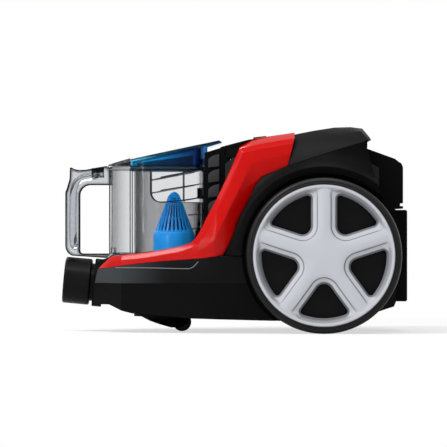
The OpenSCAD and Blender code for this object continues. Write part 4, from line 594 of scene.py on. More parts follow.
def grid(points, close_rows=False, close_columns=False):
    """Vertices and quads of a table of points [row, column, xyz], wrapped round where asked."""
    rows, columns = points.shape[:2]
    index = np.arange(rows * columns).reshape(rows, columns)
    if close_rows:
        index = np.vstack([index, index[:1]])
    if close_columns:
        index = np.hstack([index, index[:, :1]])
    quads = np.stack([index[:-1, :-1], index[:-1, 1:], index[1:, 1:], index[1:, :-1]], axis=-1)
    return points.reshape(-1, 3), quads.reshape(-1, 4)


def make_piece(name, surfaces, material, body, replaces=(), bevel=0.0, weld=0.0005):
    """Joins grids, welds their shared edges, turns the faces outward and hangs the piece on a body.

    Bevel is the width of small radii on its sharp edges, and weld is the largest gap that closes.
    """
    counts = np.cumsum([0] + [len(points) for points, _ in surfaces])
    vertices = np.vstack([points for points, _ in surfaces]) * MM
    faces = np.vstack([quads + start for (_, quads), start in zip(surfaces, counts)])
    mesh = bpy.data.meshes.new(name)
    mesh.from_pydata(vertices.tolist(), [], faces.tolist())
    work = bmesh.new()
    work.from_mesh(mesh)
    bmesh.ops.remove_doubles(work, verts=work.verts, dist=weld * MM)
    bmesh.ops.dissolve_degenerate(work, edges=work.edges, dist=weld * MM / 10)
    bmesh.ops.recalc_face_normals(work, faces=work.faces)
    work.to_mesh(mesh)
    work.free()
    mesh.materials.append(material)
    piece = bpy.data.objects.new(name, mesh)
    bpy.context.collection.objects.link(piece)
    if bevel:
        rounding = piece.modifiers.new("small radii", "BEVEL")
        rounding.width = bevel * MM
        rounding.segments = 3
        rounding.limit_method = "ANGLE"
        rounding.angle_limit = math.radians(BEVEL_DEGREES)
    piece.modifiers.new("clean shading", "NODES").node_group = CLEAN_SHADING
    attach(piece, body)
    if replaces:
        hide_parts(*replaces)
    print(name, len(mesh.polygons), "faces")
    return piece


print("a table of 3 by 4 points has", len(grid(np.zeros((3, 4, 3)))[1]), "faces")

# %% [markdown]
# ## Measuring and drawing
# New pieces take their places from the solids that they replace or stand on. Most outlines are
# arcs and eased steps, so these two come first.


# %% Helpers for places and outlines
def node_box(name):
    """Lowest and highest corner of a carried-over solid, in millimetres."""
    low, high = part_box(name)
    return np.array(low) / MM, np.array(high) / MM


def wheel_place(name, outward):
    """Box of a wheel's solid, its axle in the XZ plane, and the Y of its outer face."""
    low, high = node_box(name)
    return low, high, ((low[0] + high[0]) / 2, (low[2] + high[2]) / 2), low[1] if outward < 0 else high[1]


def arc(centre, radius, start, stop, count):
    """Points round a circle's arc, by angle in degrees."""
    angle = np.radians(np.linspace(start, stop, count))
    return np.column_stack([centre[0] + radius * np.cos(angle), centre[1] + radius * np.sin(angle)])


def blend_step(value, start, stop):
    """Smooth rise from 0 to 1 between two values: 3t^2 - 2t^3."""
    t = np.clip((value - start) / (stop - start), 0, 1)
    return t * t * (3 - 2 * t)


print("halfway up the eased step:", blend_step(0.5, 0, 1))

# %% [markdown]
# ## Spoke cap
# The cap is a silver moulding with five windows. It could be cut out of a disc by five holes, but
# its charm is in how the surface rises from each window: a small bevel, a flat shoulder, a step
# that keeps parallel to the spoke, and a plateau that runs from spoke to spoke across the hub.
# So one fifth of it is built from offsets of the window's outline, and turned round the axle.
# A window is a rounded triangle whose tip points at the hub.

# %% Outline of a window
WINDOWS = 5
# Half of one fifth of a turn, in degrees. The sector lies on both sides of the X axis.
SECTOR = 180 / WINDOWS
SPOKE_HALF = 15.0
WINDOW_R = 73.0
TIP_R = 10.0
CORNER_R = 4.0
half_angle = math.radians(SECTOR)
tip_centre = (SPOKE_HALF + TIP_R) / math.sin(half_angle)


def window_outline():
    """One window from its tip round to its tip again: points, and unit normals that point out of it.

    Three arcs make its upper half: the tip, the corner and the rim. A straight side joins the first
    two. The lower half is the mirror image.
    """
    corner_reach = WINDOW_R - CORNER_R
    corner_angle = SECTOR - math.degrees(math.asin((SPOKE_HALF + CORNER_R) / corner_reach))
    at_corner = math.radians(corner_angle)
    corner = corner_reach * np.array([math.cos(at_corner), math.sin(at_corner)])
    side_turn = 90 + SECTOR
    arcs = (((tip_centre, 0), TIP_R, 180, side_turn, 26), (corner, CORNER_R, side_turn, corner_angle, 14),
            ((0, 0), WINDOW_R, corner_angle, 0, 30))
    tip, bend, rim = (arc(*sizes) for sizes in arcs)
    tip_turn, bend_turn, rim_turn = (np.linspace(*sizes[2:]) for sizes in arcs)
    side = tip[-1] + np.linspace(0, 1, 26)[1:-1, None] * (bend[0] - tip[-1])
    upper = np.vstack([tip, side, bend, rim[1:]])
    turns = np.radians(np.concatenate([tip_turn, np.full(len(side), side_turn), bend_turn, rim_turn[1:]]))
    normals = np.column_stack([np.cos(turns), np.sin(turns)])
    mirror = np.array([1, -1])
    return np.vstack([upper, upper[-2:0:-1] * mirror]), np.vstack([normals, normals[-2:0:-1] * mirror])


print("points round a window:", len(window_outline()[0]))

# %% [markdown]
# ## Height of the cap
# The height is worked out from two distances, one to the window's edge and one to the spoke's edge
# line. The second runs on past the window's corner, so the step on the spoke reaches the rim.

# %% Height of the cap
# Distance from the window's edge and height: inner wall, rounded edge and shoulder.
EDGE_PROFILE = np.array([[0, -6.4], [1.7, -4.5], [2.1, -4.15], [2.6, -3.95], [6.3, -3.1]])
STEP_HEIGHT = 1.3
SWELL_HEIGHT = 1.3
SWELL_REACH = 4.0
RIM_SLOPE_HEIGHT = 3.0
SHARPNESS = 9.0
LIP_FROM_R = 79.6


def cap_height(points, edge_distance):
    """Height over the cap's face, never above 0.

    The window's wall leans outward to a rounded edge, and a shoulder rises gently from there. The
    spoke adds a step that keeps parallel to its edge line, which runs on to the rim, and then
    swells towards its middle. The rim adds a slope up to the lip. The larger of the two counts,
    with a soft change between them: log(e^ka + e^kb) / k.
    """
    x, y = points[..., 0], np.abs(points[..., 1])
    from_side = SPOKE_HALF - (x * math.sin(half_angle) - y * math.cos(half_angle))
    before_tip = (x - tip_centre) * math.cos(half_angle) + y * math.sin(half_angle) < 0
    from_tip = np.hypot(x - tip_centre, y) - TIP_R
    spoke_distance = np.where(before_tip, from_tip, from_side)
    wall = np.interp(edge_distance, *EDGE_PROFILE.T)
    spoke = STEP_HEIGHT * blend_step(spoke_distance, 6.1, 7.6)
    spoke = spoke + SWELL_HEIGHT * (1 - np.exp(-np.maximum(spoke_distance - 7.3, 0) / SWELL_REACH))
    rim = RIM_SLOPE_HEIGHT * blend_step(np.hypot(x, y), WINDOW_R + 0.5, LIP_FROM_R + 0.8)
    larger = np.log(np.exp(SHARPNESS * spoke) + np.exp(SHARPNESS * rim)) / SHARPNESS
    return wall + larger - math.log(2) / SHARPNESS


hub = cap_height(np.zeros((1, 2)), np.array([tip_centre]))
print("the hub stands", round(float(-hub[0]), 2), "mm below the lip")

# %% [markdown]
# ## Edges of one fifth
# Five sectors have to meet without a gap. So points are carried outward exactly to the sector's own
# edges: two straight lines and the arc where the lip begins. The lip is a profile swept along that
# arc, with a rounded edge, and it closes the cap towards the tyre.

# %% Edges and lip of one fifth
RIM_ROOM = 0.74
CAP_DEPTH = 7.0
# Radius and height of the lip, from the cap's face over the rounded edge to the back.
LIP_PROFILE = np.array([
    [LIP_FROM_R, 0], [80.1, -0.1], [80.6, -0.03], [81.2, 0.0], [81.7, -0.05], [82.1, -0.17], [82.5, -0.42],
    [82.8, -0.85], [82.95, -1.3], [83.0, -2.0], [83.0, -CAP_DEPTH], [LIP_FROM_R, -CAP_DEPTH]])


def to_sector_edge(points, centre):
    """Carries points outward from a centre to the straight edges or the arc that bound one fifth.

    A ray from the centre meets the arc where its distance from the axle is the arc's radius, and a
    straight edge where y = x tan(half angle). The nearer of the two counts.
    """
    ray = points - centre
    ray = ray / np.linalg.norm(ray, axis=1, keepdims=True)
    along = centre[0] * ray[:, 0]
    to_arc = -along + np.sqrt(along**2 + LIP_FROM_R**2 - centre[0] ** 2)
    rise = np.abs(ray[:, 1]) * math.cos(half_angle) - ray[:, 0] * math.sin(half_angle)
    to_line = np.where(rise > 1e-9, centre[0] * math.sin(half_angle) / np.maximum(rise, 1e-9), np.inf)
    edge = centre + ray * np.minimum(to_arc, to_line)[:, None]
    corner = LIP_FROM_R * np.array([math.cos(half_angle), math.sin(half_angle)])
    for sign in (1, -1):
        wanted = corner * np.array([1, sign])
        edge[np.argmin(np.linalg.norm(edge - wanted, axis=1))] = wanted
    return edge


def rim_room(outline):
    """Share of the offsets that fits at each point: less along the rim, with a gradual change."""
    along_rim = np.isclose(np.linalg.norm(outline, axis=1), WINDOW_R, atol=0.01)
    room = np.where(along_rim, RIM_ROOM, 1.0)
    spread = (room + np.roll(room, 3) + np.roll(room, -3) + np.roll(room, 6) + np.roll(room, -6)) / 5
    return np.minimum(spread, room)


def lip_rows(edge, height):
    """The lip's profile swept along the sector's arc. Its first row takes the height it meets there."""
    on_arc = np.isclose(np.linalg.norm(edge, axis=1), LIP_FROM_R, atol=1e-6)
    angle = np.arctan2(edge[on_arc, 1], edge[on_arc, 0])
    order = np.argsort(angle)
    angle = angle[order]
    radius, level = LIP_PROFILE.T
    rows = np.broadcast_to(level[:, None], (len(level), len(angle))).copy()
    rows[0] = height[on_arc][order]
    return np.stack([radius[:, None] * np.cos(angle), radius[:, None] * np.sin(angle), rows], axis=-1)


print("the lip is", round(LIP_PROFILE[:, 0].max() - LIP_FROM_R, 1), "mm wide")

# %% [markdown]
# ## One fifth of the cap, and all five
# Rows of points follow the window's outline outward, close together where the surface bends, and
# nine more rows spread from there to the sector's edges. Each point's height comes from the
# function above. The back is flat. One function can then be turned to all five places.

# %% Spoke caps
WINDOW_CENTRE = np.array([52.0, 0.0])
EDGE_OFFSETS = np.array([
    0, 0.6, 1.2, 1.7, 1.9, 2.1, 2.35, 2.6, 3.6, 5.0, 6.0, 6.3, 6.55, 6.8, 7.05, 7.3, 7.7, 8.2])
WALL_DRAFT = 0.3


def cap_sector(turn, axle, face, outward):
    """The grids of one fifth of the cap, turned by an angle round the axle: top, back and lip."""
    outline, normals = window_outline()
    distance = EDGE_OFFSETS[:, None] * rim_room(outline)
    offsets = outline + distance[..., None] * normals
    edge = to_sector_edge(offsets[-1], WINDOW_CENTRE)
    spread = offsets[-1] + np.linspace(0, 1, 10)[1:, None, None] * (edge - offsets[-1])
    far = np.linalg.norm(spread[:, :, None] - outline, axis=-1).min(axis=2)
    flat = np.vstack([offsets, spread])
    height = cap_height(flat, np.vstack([distance, far]))
    foot = outline - WALL_DRAFT * normals
    foot_height = np.full((1, len(outline)), -CAP_DEPTH)
    top = np.concatenate([np.vstack([foot[None], flat]), np.vstack([foot_height, height])[..., None]], axis=2)
    back = np.concatenate([np.stack([foot, edge]), np.full((2, len(outline), 1), -CAP_DEPTH)], axis=2)
    made = []
    for table, closed in ((top, True), (back, True), (lip_rows(edge, height[-1]), False)):
        x = table[..., 0] * math.cos(turn) - table[..., 1] * math.sin(turn)
        z = table[..., 0] * math.sin(turn) + table[..., 1] * math.cos(turn)
        placed = np.stack([axle[0] + x, face + outward * table[..., 2], axle[1] + z], axis=-1)
        made.append(grid(placed, close_columns=closed))
    return made


for side, outward in SIDES:
    _, _, axle, face = wheel_place(f"{side}_spoke_cap", outward)
    surfaces = []
    for step in range(WINDOWS):
        surfaces += cap_sector(math.radians(-90 + 2 * SECTOR * step), axle, face, outward)
    make_piece(f"{side}_wheel_cap", surfaces, SILVER_PAINT, f"{side}_wheel",
               replaces=(f"{side}_spoke_cap",), weld=0.002)

# %% [markdown]
# ## Tyre
# A tyre is one profile swept round the axle. Its side has a raised bead next to the cap, a narrow
# channel, and a shoulder that rounds over into a tread with three grooves, so the profile alone
# says it all.

# %% Tyre
TYRE_THICK = 8.0
# Rise over the tyre's inner radius, and depth from its outer face.
SIDE_WALL = [(0, 0.9), (0.25, 0.25), (0.7, 0.0), (1.5, 0.0), (1.9, 0.2), (2.1, 0.75), (2.5, 0.95),
             (3.2, 0.8), (4.4, 0.9), (5.6, 1.5), (6.6, 2.6), (7.4, 4.2), (7.8, 6.0)]
GROOVES = (10.5, 15.0, 19.5)
# Rise over the inner radius, and depth from the inner face.
INNER_SIDE = [(8.0, 7.5), (7.6, 4.5), (6.4, 2.0), (4.0, 0.6), (0.5, 0.0), (0, 0.0)]


def revolve(profile, axle, count=180):
    """A closed profile of radius and Y, swept round an axle along Y: x = r cos a, z = r sin a."""
    angle = np.linspace(0, 2 * math.pi, count, endpoint=False)
    radius, across = np.asarray(profile, dtype=float).T
    points = np.stack([axle[0] + radius[:, None] * np.cos(angle),
                       np.broadcast_to(across[:, None], (len(radius), count)),
                       axle[1] + radius[:, None] * np.sin(angle)], axis=-1)
    return grid(points, close_rows=True, close_columns=True)


for side, outward in SIDES:
    low, high, axle, face = wheel_place(f"{side}_tyre", outward)
    inner_r = (high[0] - low[0]) / 2 - TYRE_THICK
    width = high[1] - low[1]
    tread = [(TYRE_THICK, 7.5)]
    for middle in GROOVES:
        tread += [(8.0, middle - 0.9), (7.0, middle - 0.6), (7.0, middle + 0.6), (8.0, middle + 0.9)]
    inner_side = [(rise, width - depth) for rise, depth in INNER_SIDE]
    profile = [(inner_r + rise, face - outward * depth) for rise, depth in SIDE_WALL + tread + inner_side]
    make_piece(f"{side}_tyre_rubber", [revolve(profile, axle)], TYRE_RUBBER, f"{side}_wheel",
               replaces=(f"{side}_tyre",))

# %% [markdown]
# ## Bay cheeks
# The bay's rear corners are closed by a cheek on each side, and the louvres of the rear wall carry
# on across it as scallops. A cheek is a thin black slab. Each scallop is a solid between a sloping
# line and a rounded shoulder, so both come from one helper that fills the space between two curves.

# %% Bay cheeks
CHEEK_Y = 62.2
CHEEK_THICK = 2.0
SCALLOPS = 6
SCALLOP_PITCH = 17.7
SCALLOP_LENGTH = 13.0
SCALLOP_OUT = 3.2
louvre_low, louvre_high = node_box("louvre_wall")
bay_low, bay_high = node_box("dust_container")
casing_low, casing_high = node_box("inner_casing")


def ribbon(lower, upper, start, stop):
    """A solid between two curves in the XZ plane, from one Y to another, with its end faces."""
    loop = np.stack([lower, upper, upper, lower])
    across = np.array([start, start, stop, stop], dtype=float)[:, None]
    table = np.stack([loop[..., 0], np.broadcast_to(across, loop.shape[:2]), loop[..., 1]], axis=-1)
    ends = [grid(table[[[0, 1], [3, 2]], column]) for column in (0, -1)]
    return [grid(table, close_rows=True), *ends]


def cheek_slab(x, foot, rise, slope, sign):
    """A slab on one side, from a level foot to a top that starts at a height and slopes up."""
    lower = np.column_stack([x, np.full(len(x), foot)])
    upper = np.column_stack([x, rise + slope * (x - x[0])])
    return ribbon(lower, upper, sign * CHEEK_Y, sign * (CHEEK_Y + CHEEK_THICK))


def scallop(step, sign):
    """One louvre on the cheek: straight below, and a quarter of an ellipse above."""
    turn = np.linspace(0, math.pi / 2, 12)
    x = louvre_low[0] - 1.0 + SCALLOP_LENGTH * (1 - np.cos(turn))
    top_z = louvre_high[2] - 2.0 - SCALLOP_PITCH * step
    lower = np.column_stack([x, top_z - 14.5 + 0.12 * (x - x[0])])
    upper = np.column_stack([x, lower[:, 1] + 8.0 + 6.3 * np.sin(turn)])
    outer = sign * (CHEEK_Y + CHEEK_THICK)
    return ribbon(lower, upper, outer, outer + sign * SCALLOP_OUT)


cheek_x = np.linspace(bay_high[0] - 1.0, casing_low[0] + 6.0, 12)
corner_x = np.linspace(louvre_high[0], louvre_high[0] + 14.0, 6)
cheeks = []
scallops = []
for _, sign in SIDES:
    cheeks += cheek_slab(cheek_x, louvre_low[2] + 0.5, louvre_high[2] + 1, 0.3, sign)
    cheeks += cheek_slab(corner_x, casing_high[2] + 0.6, louvre_high[2] + 7, 0.2, sign)
    for step in range(SCALLOPS):
        scallops += scallop(step, sign)
make_piece("bay_cheeks", cheeks, BLACK_GRAINED, "body")
make_piece("cheek_louvres", scallops, LOUVRE_GREY, "body", bevel=0.5)

# %% [markdown]
# ## Cyclone cone
# The cone is one moulding in translucent blue: a plain flared base, a ring, and a body with slots
# between upright fins that stops at a round tip. It could be a cone with boxes cut from it, but
# the slots keep their share of the girth as the body narrows, so the radius itself is a function
# of height and angle.

# %% Radius of the cone
FINS = 26
SLOT_DEPTH = 3.2
RING_HEIGHTS = (0.57, 0.8)
# Height as a share of the cone's, and radius as a share of its base's.
CONE_PROFILE = np.array([
    [0.0, 0.99], [0.03, 1.0], [0.24, 1.0], [0.31, 0.985], [0.342, 0.95], [0.35, 0.9], [0.36, 0.915],
    [0.875, 0.335], [0.92, 0.285], [0.955, 0.215], [0.98, 0.14], [1.0, 0.0]])
cone_low, cone_high = node_box("cyclone_cone")
cone_axis = (cone_low[:2] + cone_high[:2]) / 2
base_r = (cone_high[0] - cone_low[0]) / 2
base_z, tip_z = cone_low[2], cone_high[2]


def cone_radius(level, angle):
    """Radius of the cone: a smooth profile less a slot wherever cos(fins * angle) is near -1.

    The slots lie between the base and the tip, get shallower upward, and stop at two rings.
    """
    height = (level - base_z) / (tip_z - base_z)
    outline = np.interp(height, *CONE_PROFILE.T)
    slotted = blend_step(height, 0.365, 0.385) * (1 - blend_step(height, 0.9, 0.93))
    for ring in RING_HEIGHTS:
        slotted = slotted * (1 - blend_step(height, ring - 0.012, ring - 0.004)
                             * (1 - blend_step(height, ring + 0.004, ring + 0.012)))
    slot = blend_step(0.5 - 0.5 * np.cos(FINS * angle), 0.36, 0.66)
    return base_r * outline - SLOT_DEPTH * slot * slotted * (0.55 + 0.45 * (1 - height))


print("cone", round(2 * base_r, 1), "mm across and", round(tip_z - base_z, 1), "mm high")

# %% [markdown]
# ## Cone and core
# The slots are open on the real cone, and one looks through them into its shaded inside. A dark
# navy core, a little smaller than the cone at every height, stands for that inside as painted
# shade. Both are closed at the bottom and at the tip by a row of points that all lie on the axis.

# %% Cone and core
# Start, end and number of the levels, as shares of the height: closer where the form changes.
LEVEL_RUNS = ((0, 0.33, 8), (0.335, 0.4, 8), (0.41, 0.55, 8), (0.555, 0.585, 9), (0.6, 0.78, 10),
              (0.785, 0.815, 9), (0.82, 1, 22))
CORE_COLUMNS = 60
levels = base_z + (tip_z - base_z) * np.concatenate([np.linspace(*run) for run in LEVEL_RUNS])


def around_axis(reach, turn, level):
    """Points at a distance and an angle from the cone's axis: x = r cos a, y = r sin a."""
    return np.stack([cone_axis[0] + reach * np.cos(turn), cone_axis[1] + reach * np.sin(turn),
                     np.broadcast_to(level, reach.shape)], axis=-1)


cone_turn = np.linspace(0, 2 * math.pi, FINS * 14, endpoint=False)
cone_skin = around_axis(cone_radius(levels[:, None], cone_turn[None]), cone_turn, levels[:, None])
middle = np.broadcast_to(np.array([*cone_axis, base_z]), (1, len(cone_turn), 3))
make_piece("finned_cone", [grid(np.concatenate([middle, cone_skin]), close_columns=True)], CONE_BLUE,
           "container", replaces=("cyclone_cone",), weld=0.01)

core_turn = np.linspace(0, 2 * math.pi, CORE_COLUMNS, endpoint=False)
inset = 1.0 + 0.3 * blend_step((levels - base_z) / (tip_z - base_z), 0.0, 0.05)[:, None]
core_reach = np.maximum(cone_radius(levels[:, None], np.zeros((1, CORE_COLUMNS))) - inset, 0)
core_skin = around_axis(core_reach, core_turn, np.minimum(levels, tip_z - 2.0)[:, None] + 0.5)
core_ends = [np.broadcast_to(core_skin[end].mean(axis=0), (1, CORE_COLUMNS, 3)) for end in (0, -1)]
make_piece("cone_core", [grid(np.concatenate([core_ends[0], core_skin, core_ends[1]]), close_columns=True)],
           CORE_PAINTED_SHADE, "container", weld=0.01)

# %% [markdown]
# ## Hollow of the handle
# The carrying handle is moulded hollow, and its inner wall shows as two darker lines inside the
# outline. The hollow is a flattened tube along a smooth path up the bar and back to the container,
# which is a profile carried along a curve.

# %% Hollow of the handle
HOLLOW_THICK = 4.6
HOLLOW_WIDE = 8.5
PATH_POINTS = 60
handle_low, handle_high = node_box("container_handle")
bar_x = handle_low[0] + 8.2
grip_z = handle_high[2]


def smooth_path(points, count):
    """A Catmull-Rom curve through points: each span is the usual cubic of its four neighbours."""
    padded = np.vstack([2 * points[0] - points[1], points, 2 * points[-1] - points[-2]])
    place = np.linspace(0, len(points) - 1.000001, count)
    span = place.astype(int)
    t = (place - span)[:, None]
    a, b, c, d = (padded[span + step] for step in range(4))
    return 0.5 * (2 * b + (c - a) * t + (2 * a - 5 * b + 4 * c - d) * t**2 + (3 * b - a - 3 * c + d) * t**3)


def directions(path):
    """The unit direction in which a path runs at each of its points."""
    ahead = np.gradient(path, axis=0)
    return ahead / np.linalg.norm(ahead, axis=1, keepdims=True)


def closed_tube(rings, tips):
    """A tube of rings whose two ends are each closed by a row of points in one place."""
    ends = [np.broadcast_to(tip, (1, rings.shape[1], 3)) for tip in tips]
    return grid(np.concatenate([ends[0], rings, ends[1]]), close_columns=True)


path = smooth_path(np.array([
    [bar_x + 3, handle_low[2] + 9], [bar_x, handle_low[2] + 22], [bar_x, grip_z - 50],
    [bar_x + 1.5, grip_z - 26], [bar_x + 8, grip_z - 15], [bar_x + 22, grip_z - 11.5],
    [handle_high[0] - 12, grip_z - 10.5]]), PATH_POINTS)
ahead = directions(path)
around = np.linspace(0, 2 * math.pi, 28, endpoint=False)
taper = np.sqrt(np.clip(np.sin(np.linspace(0, math.pi, PATH_POINTS)) * 4, 0.02, 1))[:, None]
sideways = HOLLOW_THICK * taper * np.cos(around)
tube = np.stack([path[:, :1] - ahead[:, 1:] * sideways, HOLLOW_WIDE * taper * np.sin(around),
                 path[:, 1:] + ahead[:, :1] * sideways], axis=-1)
make_piece("handle_hollow", [closed_tube(tube, [tube[end].mean(axis=0) for end in (0, -1)])], HOLLOW_CLEAR,
           "container", weld=0.01)

# %% [markdown]
# ## Window frame of the cyclone
# The clear cyclone wall has a window on each side, framed in black, with thin slats across it that
# keep fluff out. They lie on the wall's cylinder, so each is a thin rod along a line whose Y comes
# from the circle: y^2 = r^2 - (x - axis)^2.

# %% Window frame of the cyclone
WINDOW_X = -98.6
WINDOW_Z = 154.0
FRAME_ROD = 0.65
SLAT_ROD = 0.55
# Both ends of each slat, in X and Z.
SLATS = [((-86.5, 183.5), (-38, 193.0)), ((-86.5, 167.9), (-38, 175.8)), ((-59.9, 156), (-59.9, 191.5)),
         ((-54, 138.4), (-38, 140.4)), ((-50, 121.7), (-38, 123.4))]
wall_low, wall_high = node_box("cyclone_wall")
wall_axis = (wall_low[0] + wall_high[0]) / 2
wall_r = (wall_high[0] - wall_low[0]) / 2


def rod(points, radius, sides=8, across=(0.0, 1.0, 0.0)):
    """A thin round rod along a path: rings in the plane across its direction, closed at both ends.

    Across is any direction that the path never follows.
    """
    ahead = directions(points)
    first = np.cross(ahead, across)
    first = first / np.maximum(np.linalg.norm(first, axis=1, keepdims=True), 1e-6)
    second = np.cross(ahead, first)
    angle = np.linspace(0, 2 * math.pi, sides, endpoint=False)[None, :, None]
    rings = points[:, None] + radius * (np.cos(angle) * first[:, None] + np.sin(angle) * second[:, None])
    return closed_tube(rings, points[[0, -1]])


def at_depth(line, depth):
    """Carries a line in the XZ plane to a Y, which is one number or one for each point."""
    return np.column_stack([line[:, 0], np.broadcast_to(depth, len(line)), line[:, 1]])


def on_wall(line, sign):
    """Carries a line in the XZ plane onto one side of the cyclone wall."""
    squared = (wall_r - 0.2) ** 2 - (line[:, 0] - wall_axis) ** 2
    return at_depth(line, sign * np.sqrt(np.maximum(squared, 0.5)))


frame_corners = np.vstack([
    [[WINDOW_X, wall_high[2] - 2], [WINDOW_X, WINDOW_Z + 24]],
    arc((WINDOW_X + 12, WINDOW_Z + 12), 12, 180, 270, 12),
    [[wall_axis, WINDOW_Z + 0.4], [wall_axis + 20, WINDOW_Z + 2.5], [wall_high[0] - 0.4, WINDOW_Z + 6]]])
rods = []
for _, sign in SIDES:
    rods.append(rod(on_wall(smooth_path(frame_corners, 90), sign), FRAME_ROD))
    for start, stop in np.array(SLATS):
        rods.append(rod(on_wall(start + np.linspace(0, 1, 20)[:, None] * (stop - start), sign), SLAT_ROD))
make_piece("window_frame", rods, CAGE_BLACK, "container")

# %% [markdown]
# ## Red side panels
# Each panel is a thin shell that follows two curves, its upper and its lower edge. Between them it
# has a flange that turns in to the deck, a bevel that catches the light, a nearly flat side, and a
# band along the wheel arch that turns inward. A plate cut to the outline would miss the roll, so
# the panel is a loft: rows across, columns along the two curves. First come the curves.

# %% Edges of the red side panels
ARCH_R = 106.0
SPAN_STEPS = 8
tyre_low, tyre_high = node_box("left_tyre")
wheel_x = tyre_low[0] / 2 + tyre_high[0] / 2
wheel_z = tyre_high[2] / 2


def round_wheel(*places):
    """Points round the wheel axle, from angles in degrees and clearances over the arch."""
    angle = np.radians([place[0] for place in places])
    radius = ARCH_R + np.array([place[1] for place in places])
    return np.column_stack([wheel_x + radius * np.cos(angle), wheel_z + radius * np.sin(angle)])


# Stations from the nose to the hood, in X and Z.
UPPER_EDGE = np.array([
    [-159.6, 76.0], [-145, 89.4], [-132, 91.3], [-102, 94.7], [-72, 99.9], [-57, 103.4], [-47.6, 108.1],
    [-39.4, 119.7], [-30.1, 138.4], [-21.9, 153.6], [-13.8, 170.3], [-6.7, 185.1], [0.5, 200.9], [7, 216.4],
    [21, 219.7], [35, 222.8], [71.6, 228.6]])
LOWER_EDGE = np.vstack([
    [[-159.6, 75.0], [-145, 77.0], [-132, 78.9], [-102, 82.6], [-72, 85.4], [-39, 87.7], [-25.8, 89.3]],
    round_wheel((180, 11.6), (168.5, 3.3), (157, 2.2), (145.6, 2.6), (138.3, 5.4), (133.4, 9), (128, 11),
                (124, 9.3), (120, 8), (111.6, 7.2))])
# At each station: width of the flange, its rise, and how far the lower edge turns inward.
FLANGE = np.array([6, 6, 6, 6, 6, 6, 7, 8, 10, 11, 12, 13, 14, 19.7, 19.4, 18.8, 17.9])
FLANGE_RISE = np.array([0, 0, 0, 0, 0, 0, 0, 0, 0, 0, 0, 1, 2, 2.5, 8.0, 7.4, 6.9])
ROLL = np.array([0, 0, 0, 0, 0, 0, 1.6, 5.2, 6.8, 7.4, 7.2, 6.4, 4.8, 3.4, 2.8, 2.2, 1.8])


def corner_path(points, *corners):
    """A smooth curve through points that keeps a corner at each given point."""
    ends = [0, *corners, len(points) - 1]
    runs = [smooth_path(points[a:b + 1], (b - a) * SPAN_STEPS + 1) for a, b in zip(ends, ends[1:])]
    return np.vstack([runs[0], *[run[1:] for run in runs[1:]]])


print(len(UPPER_EDGE), "stations, and", len(corner_path(UPPER_EDGE, 1, 13)), "points along each edge")

# %% [markdown]
# ## Shell of the red side panels
# Across, the shell has one row for the flange, one for the upper edge, and twelve from the bevel's
# foot to the lower edge. Inner rows one wall further in lead back again.

# %% Shell of the red side panels
PANEL_WALL = 2.5
PANEL_STEP = 3.5
BEVEL_WIDTH = 6.0
LEAN = 0.17
LEAN_FROM_Z = 110


def body_half_width(x):
    """Half width of the body in plan, which tapers to the nose."""
    return np.interp(x, [-166, -132, -20, 105, 106, 171, 191], [42, 84, 116, 116, 105.5, 105.5, 86])


def side_distance(x, z):
    """Distance of the body's side from its middle: the plan, leaning in steadily above a height."""
    return body_half_width(x) - np.maximum(0, z - LEAN_FROM_Z) * LEAN


def make_side_panel(side, outward):
    """One red panel: outer rows from the flange to the lower edge, inner rows back again.

    The twelve rows lie at even shares between the bevel's foot and the lower edge. They swell out
    by 0.3 of the roll up to a share of 0.44, and turn inward by the whole roll from there.
    """
    upper = corner_path(UPPER_EDGE, 1, 13)
    lower = corner_path(LOWER_EDGE, 7, 13)
    station = np.linspace(0, len(UPPER_EDGE) - 1, len(upper))
    flange, rise, roll = (np.interp(station, np.arange(len(values)), values)
                          for values in (FLANGE, FLANGE_RISE, ROLL))
    width = np.linalg.norm(lower - upper, axis=1)
    bevel_foot = upper + np.minimum(0.9, BEVEL_WIDTH / width)[:, None] * (lower - upper)
    upper_y = side_distance(*upper.T) - PANEL_STEP
    rows = [np.column_stack([upper[:, 0], upper_y - flange, upper[:, 1] + rise]), at_depth(upper, upper_y)]
    for share in np.linspace(0, 1, 12):
        place = bevel_foot + share * (lower - bevel_foot)
        inward = roll * np.interp(share, [0, 0.44, 1], [0, -0.3, 1])
        rows.append(at_depth(place, side_distance(*place.T) - inward))
    outer = np.stack(rows)
    toward = (lower - upper) / width[:, None]
    depth = np.minimum(PANEL_WALL, 0.3 * width)
    inner = outer.copy()
    inner[0, :, 2] -= depth
    inner[1:, :, 1] -= PANEL_WALL
    inner[1, :, 0] += depth * toward[:, 0]
    inner[1, :, 2] += depth * toward[:, 1]
    table = np.concatenate([outer, inner[::-1]])
    table[..., 1] *= outward
    ends = [grid(np.stack([table[:len(outer), column], table[:len(outer) - 1:-1, column]]))
            for column in (0, -1)]
    return make_piece(f"{side}_red_panel", [grid(table, close_rows=True), *ends], RED_GLOSS, "body",
                      replaces=(f"{side}_side_panel",), bevel=0.7, weld=0.01)


for side, outward in SIDES:
    make_side_panel(side, outward)

# %% [markdown]
# ## Seam of the front rail
# A fine rod runs along the rail under the red panel and turns up to it before the wheel. It marks
# the seam between two rail parts, and its light grey is a painted highlight on the seam's edge.
# It lies on the body's side, so its Y comes from the same plan as the panels.

# %% Seam of the front rail
SEAM_ROD = 0.45
SEAM_LINE = np.array([[-139, 76.6], [-100, 76.4], [-60, 75.6], [-51, 76.0], [-46, 79.0], [-41.5, 84.0]])
seam = smooth_path(SEAM_LINE, 80)
seams = [rod(at_depth(seam, sign * (side_distance(*seam.T) + 0.05)), SEAM_ROD) for _, sign in SIDES]
make_piece("rail_seam", seams, SEAM_PAINTED_HIGHLIGHT, "body")

# %% [markdown]
# ## Painted dark lines on the clear container
# Clear mouldings look black along their edges, because they bend the light away there. Thin black
# rods paint that shade in: they follow the handle's outer and inner outline, an upright on each of
# the container's sides and the joint where the handle meets it.

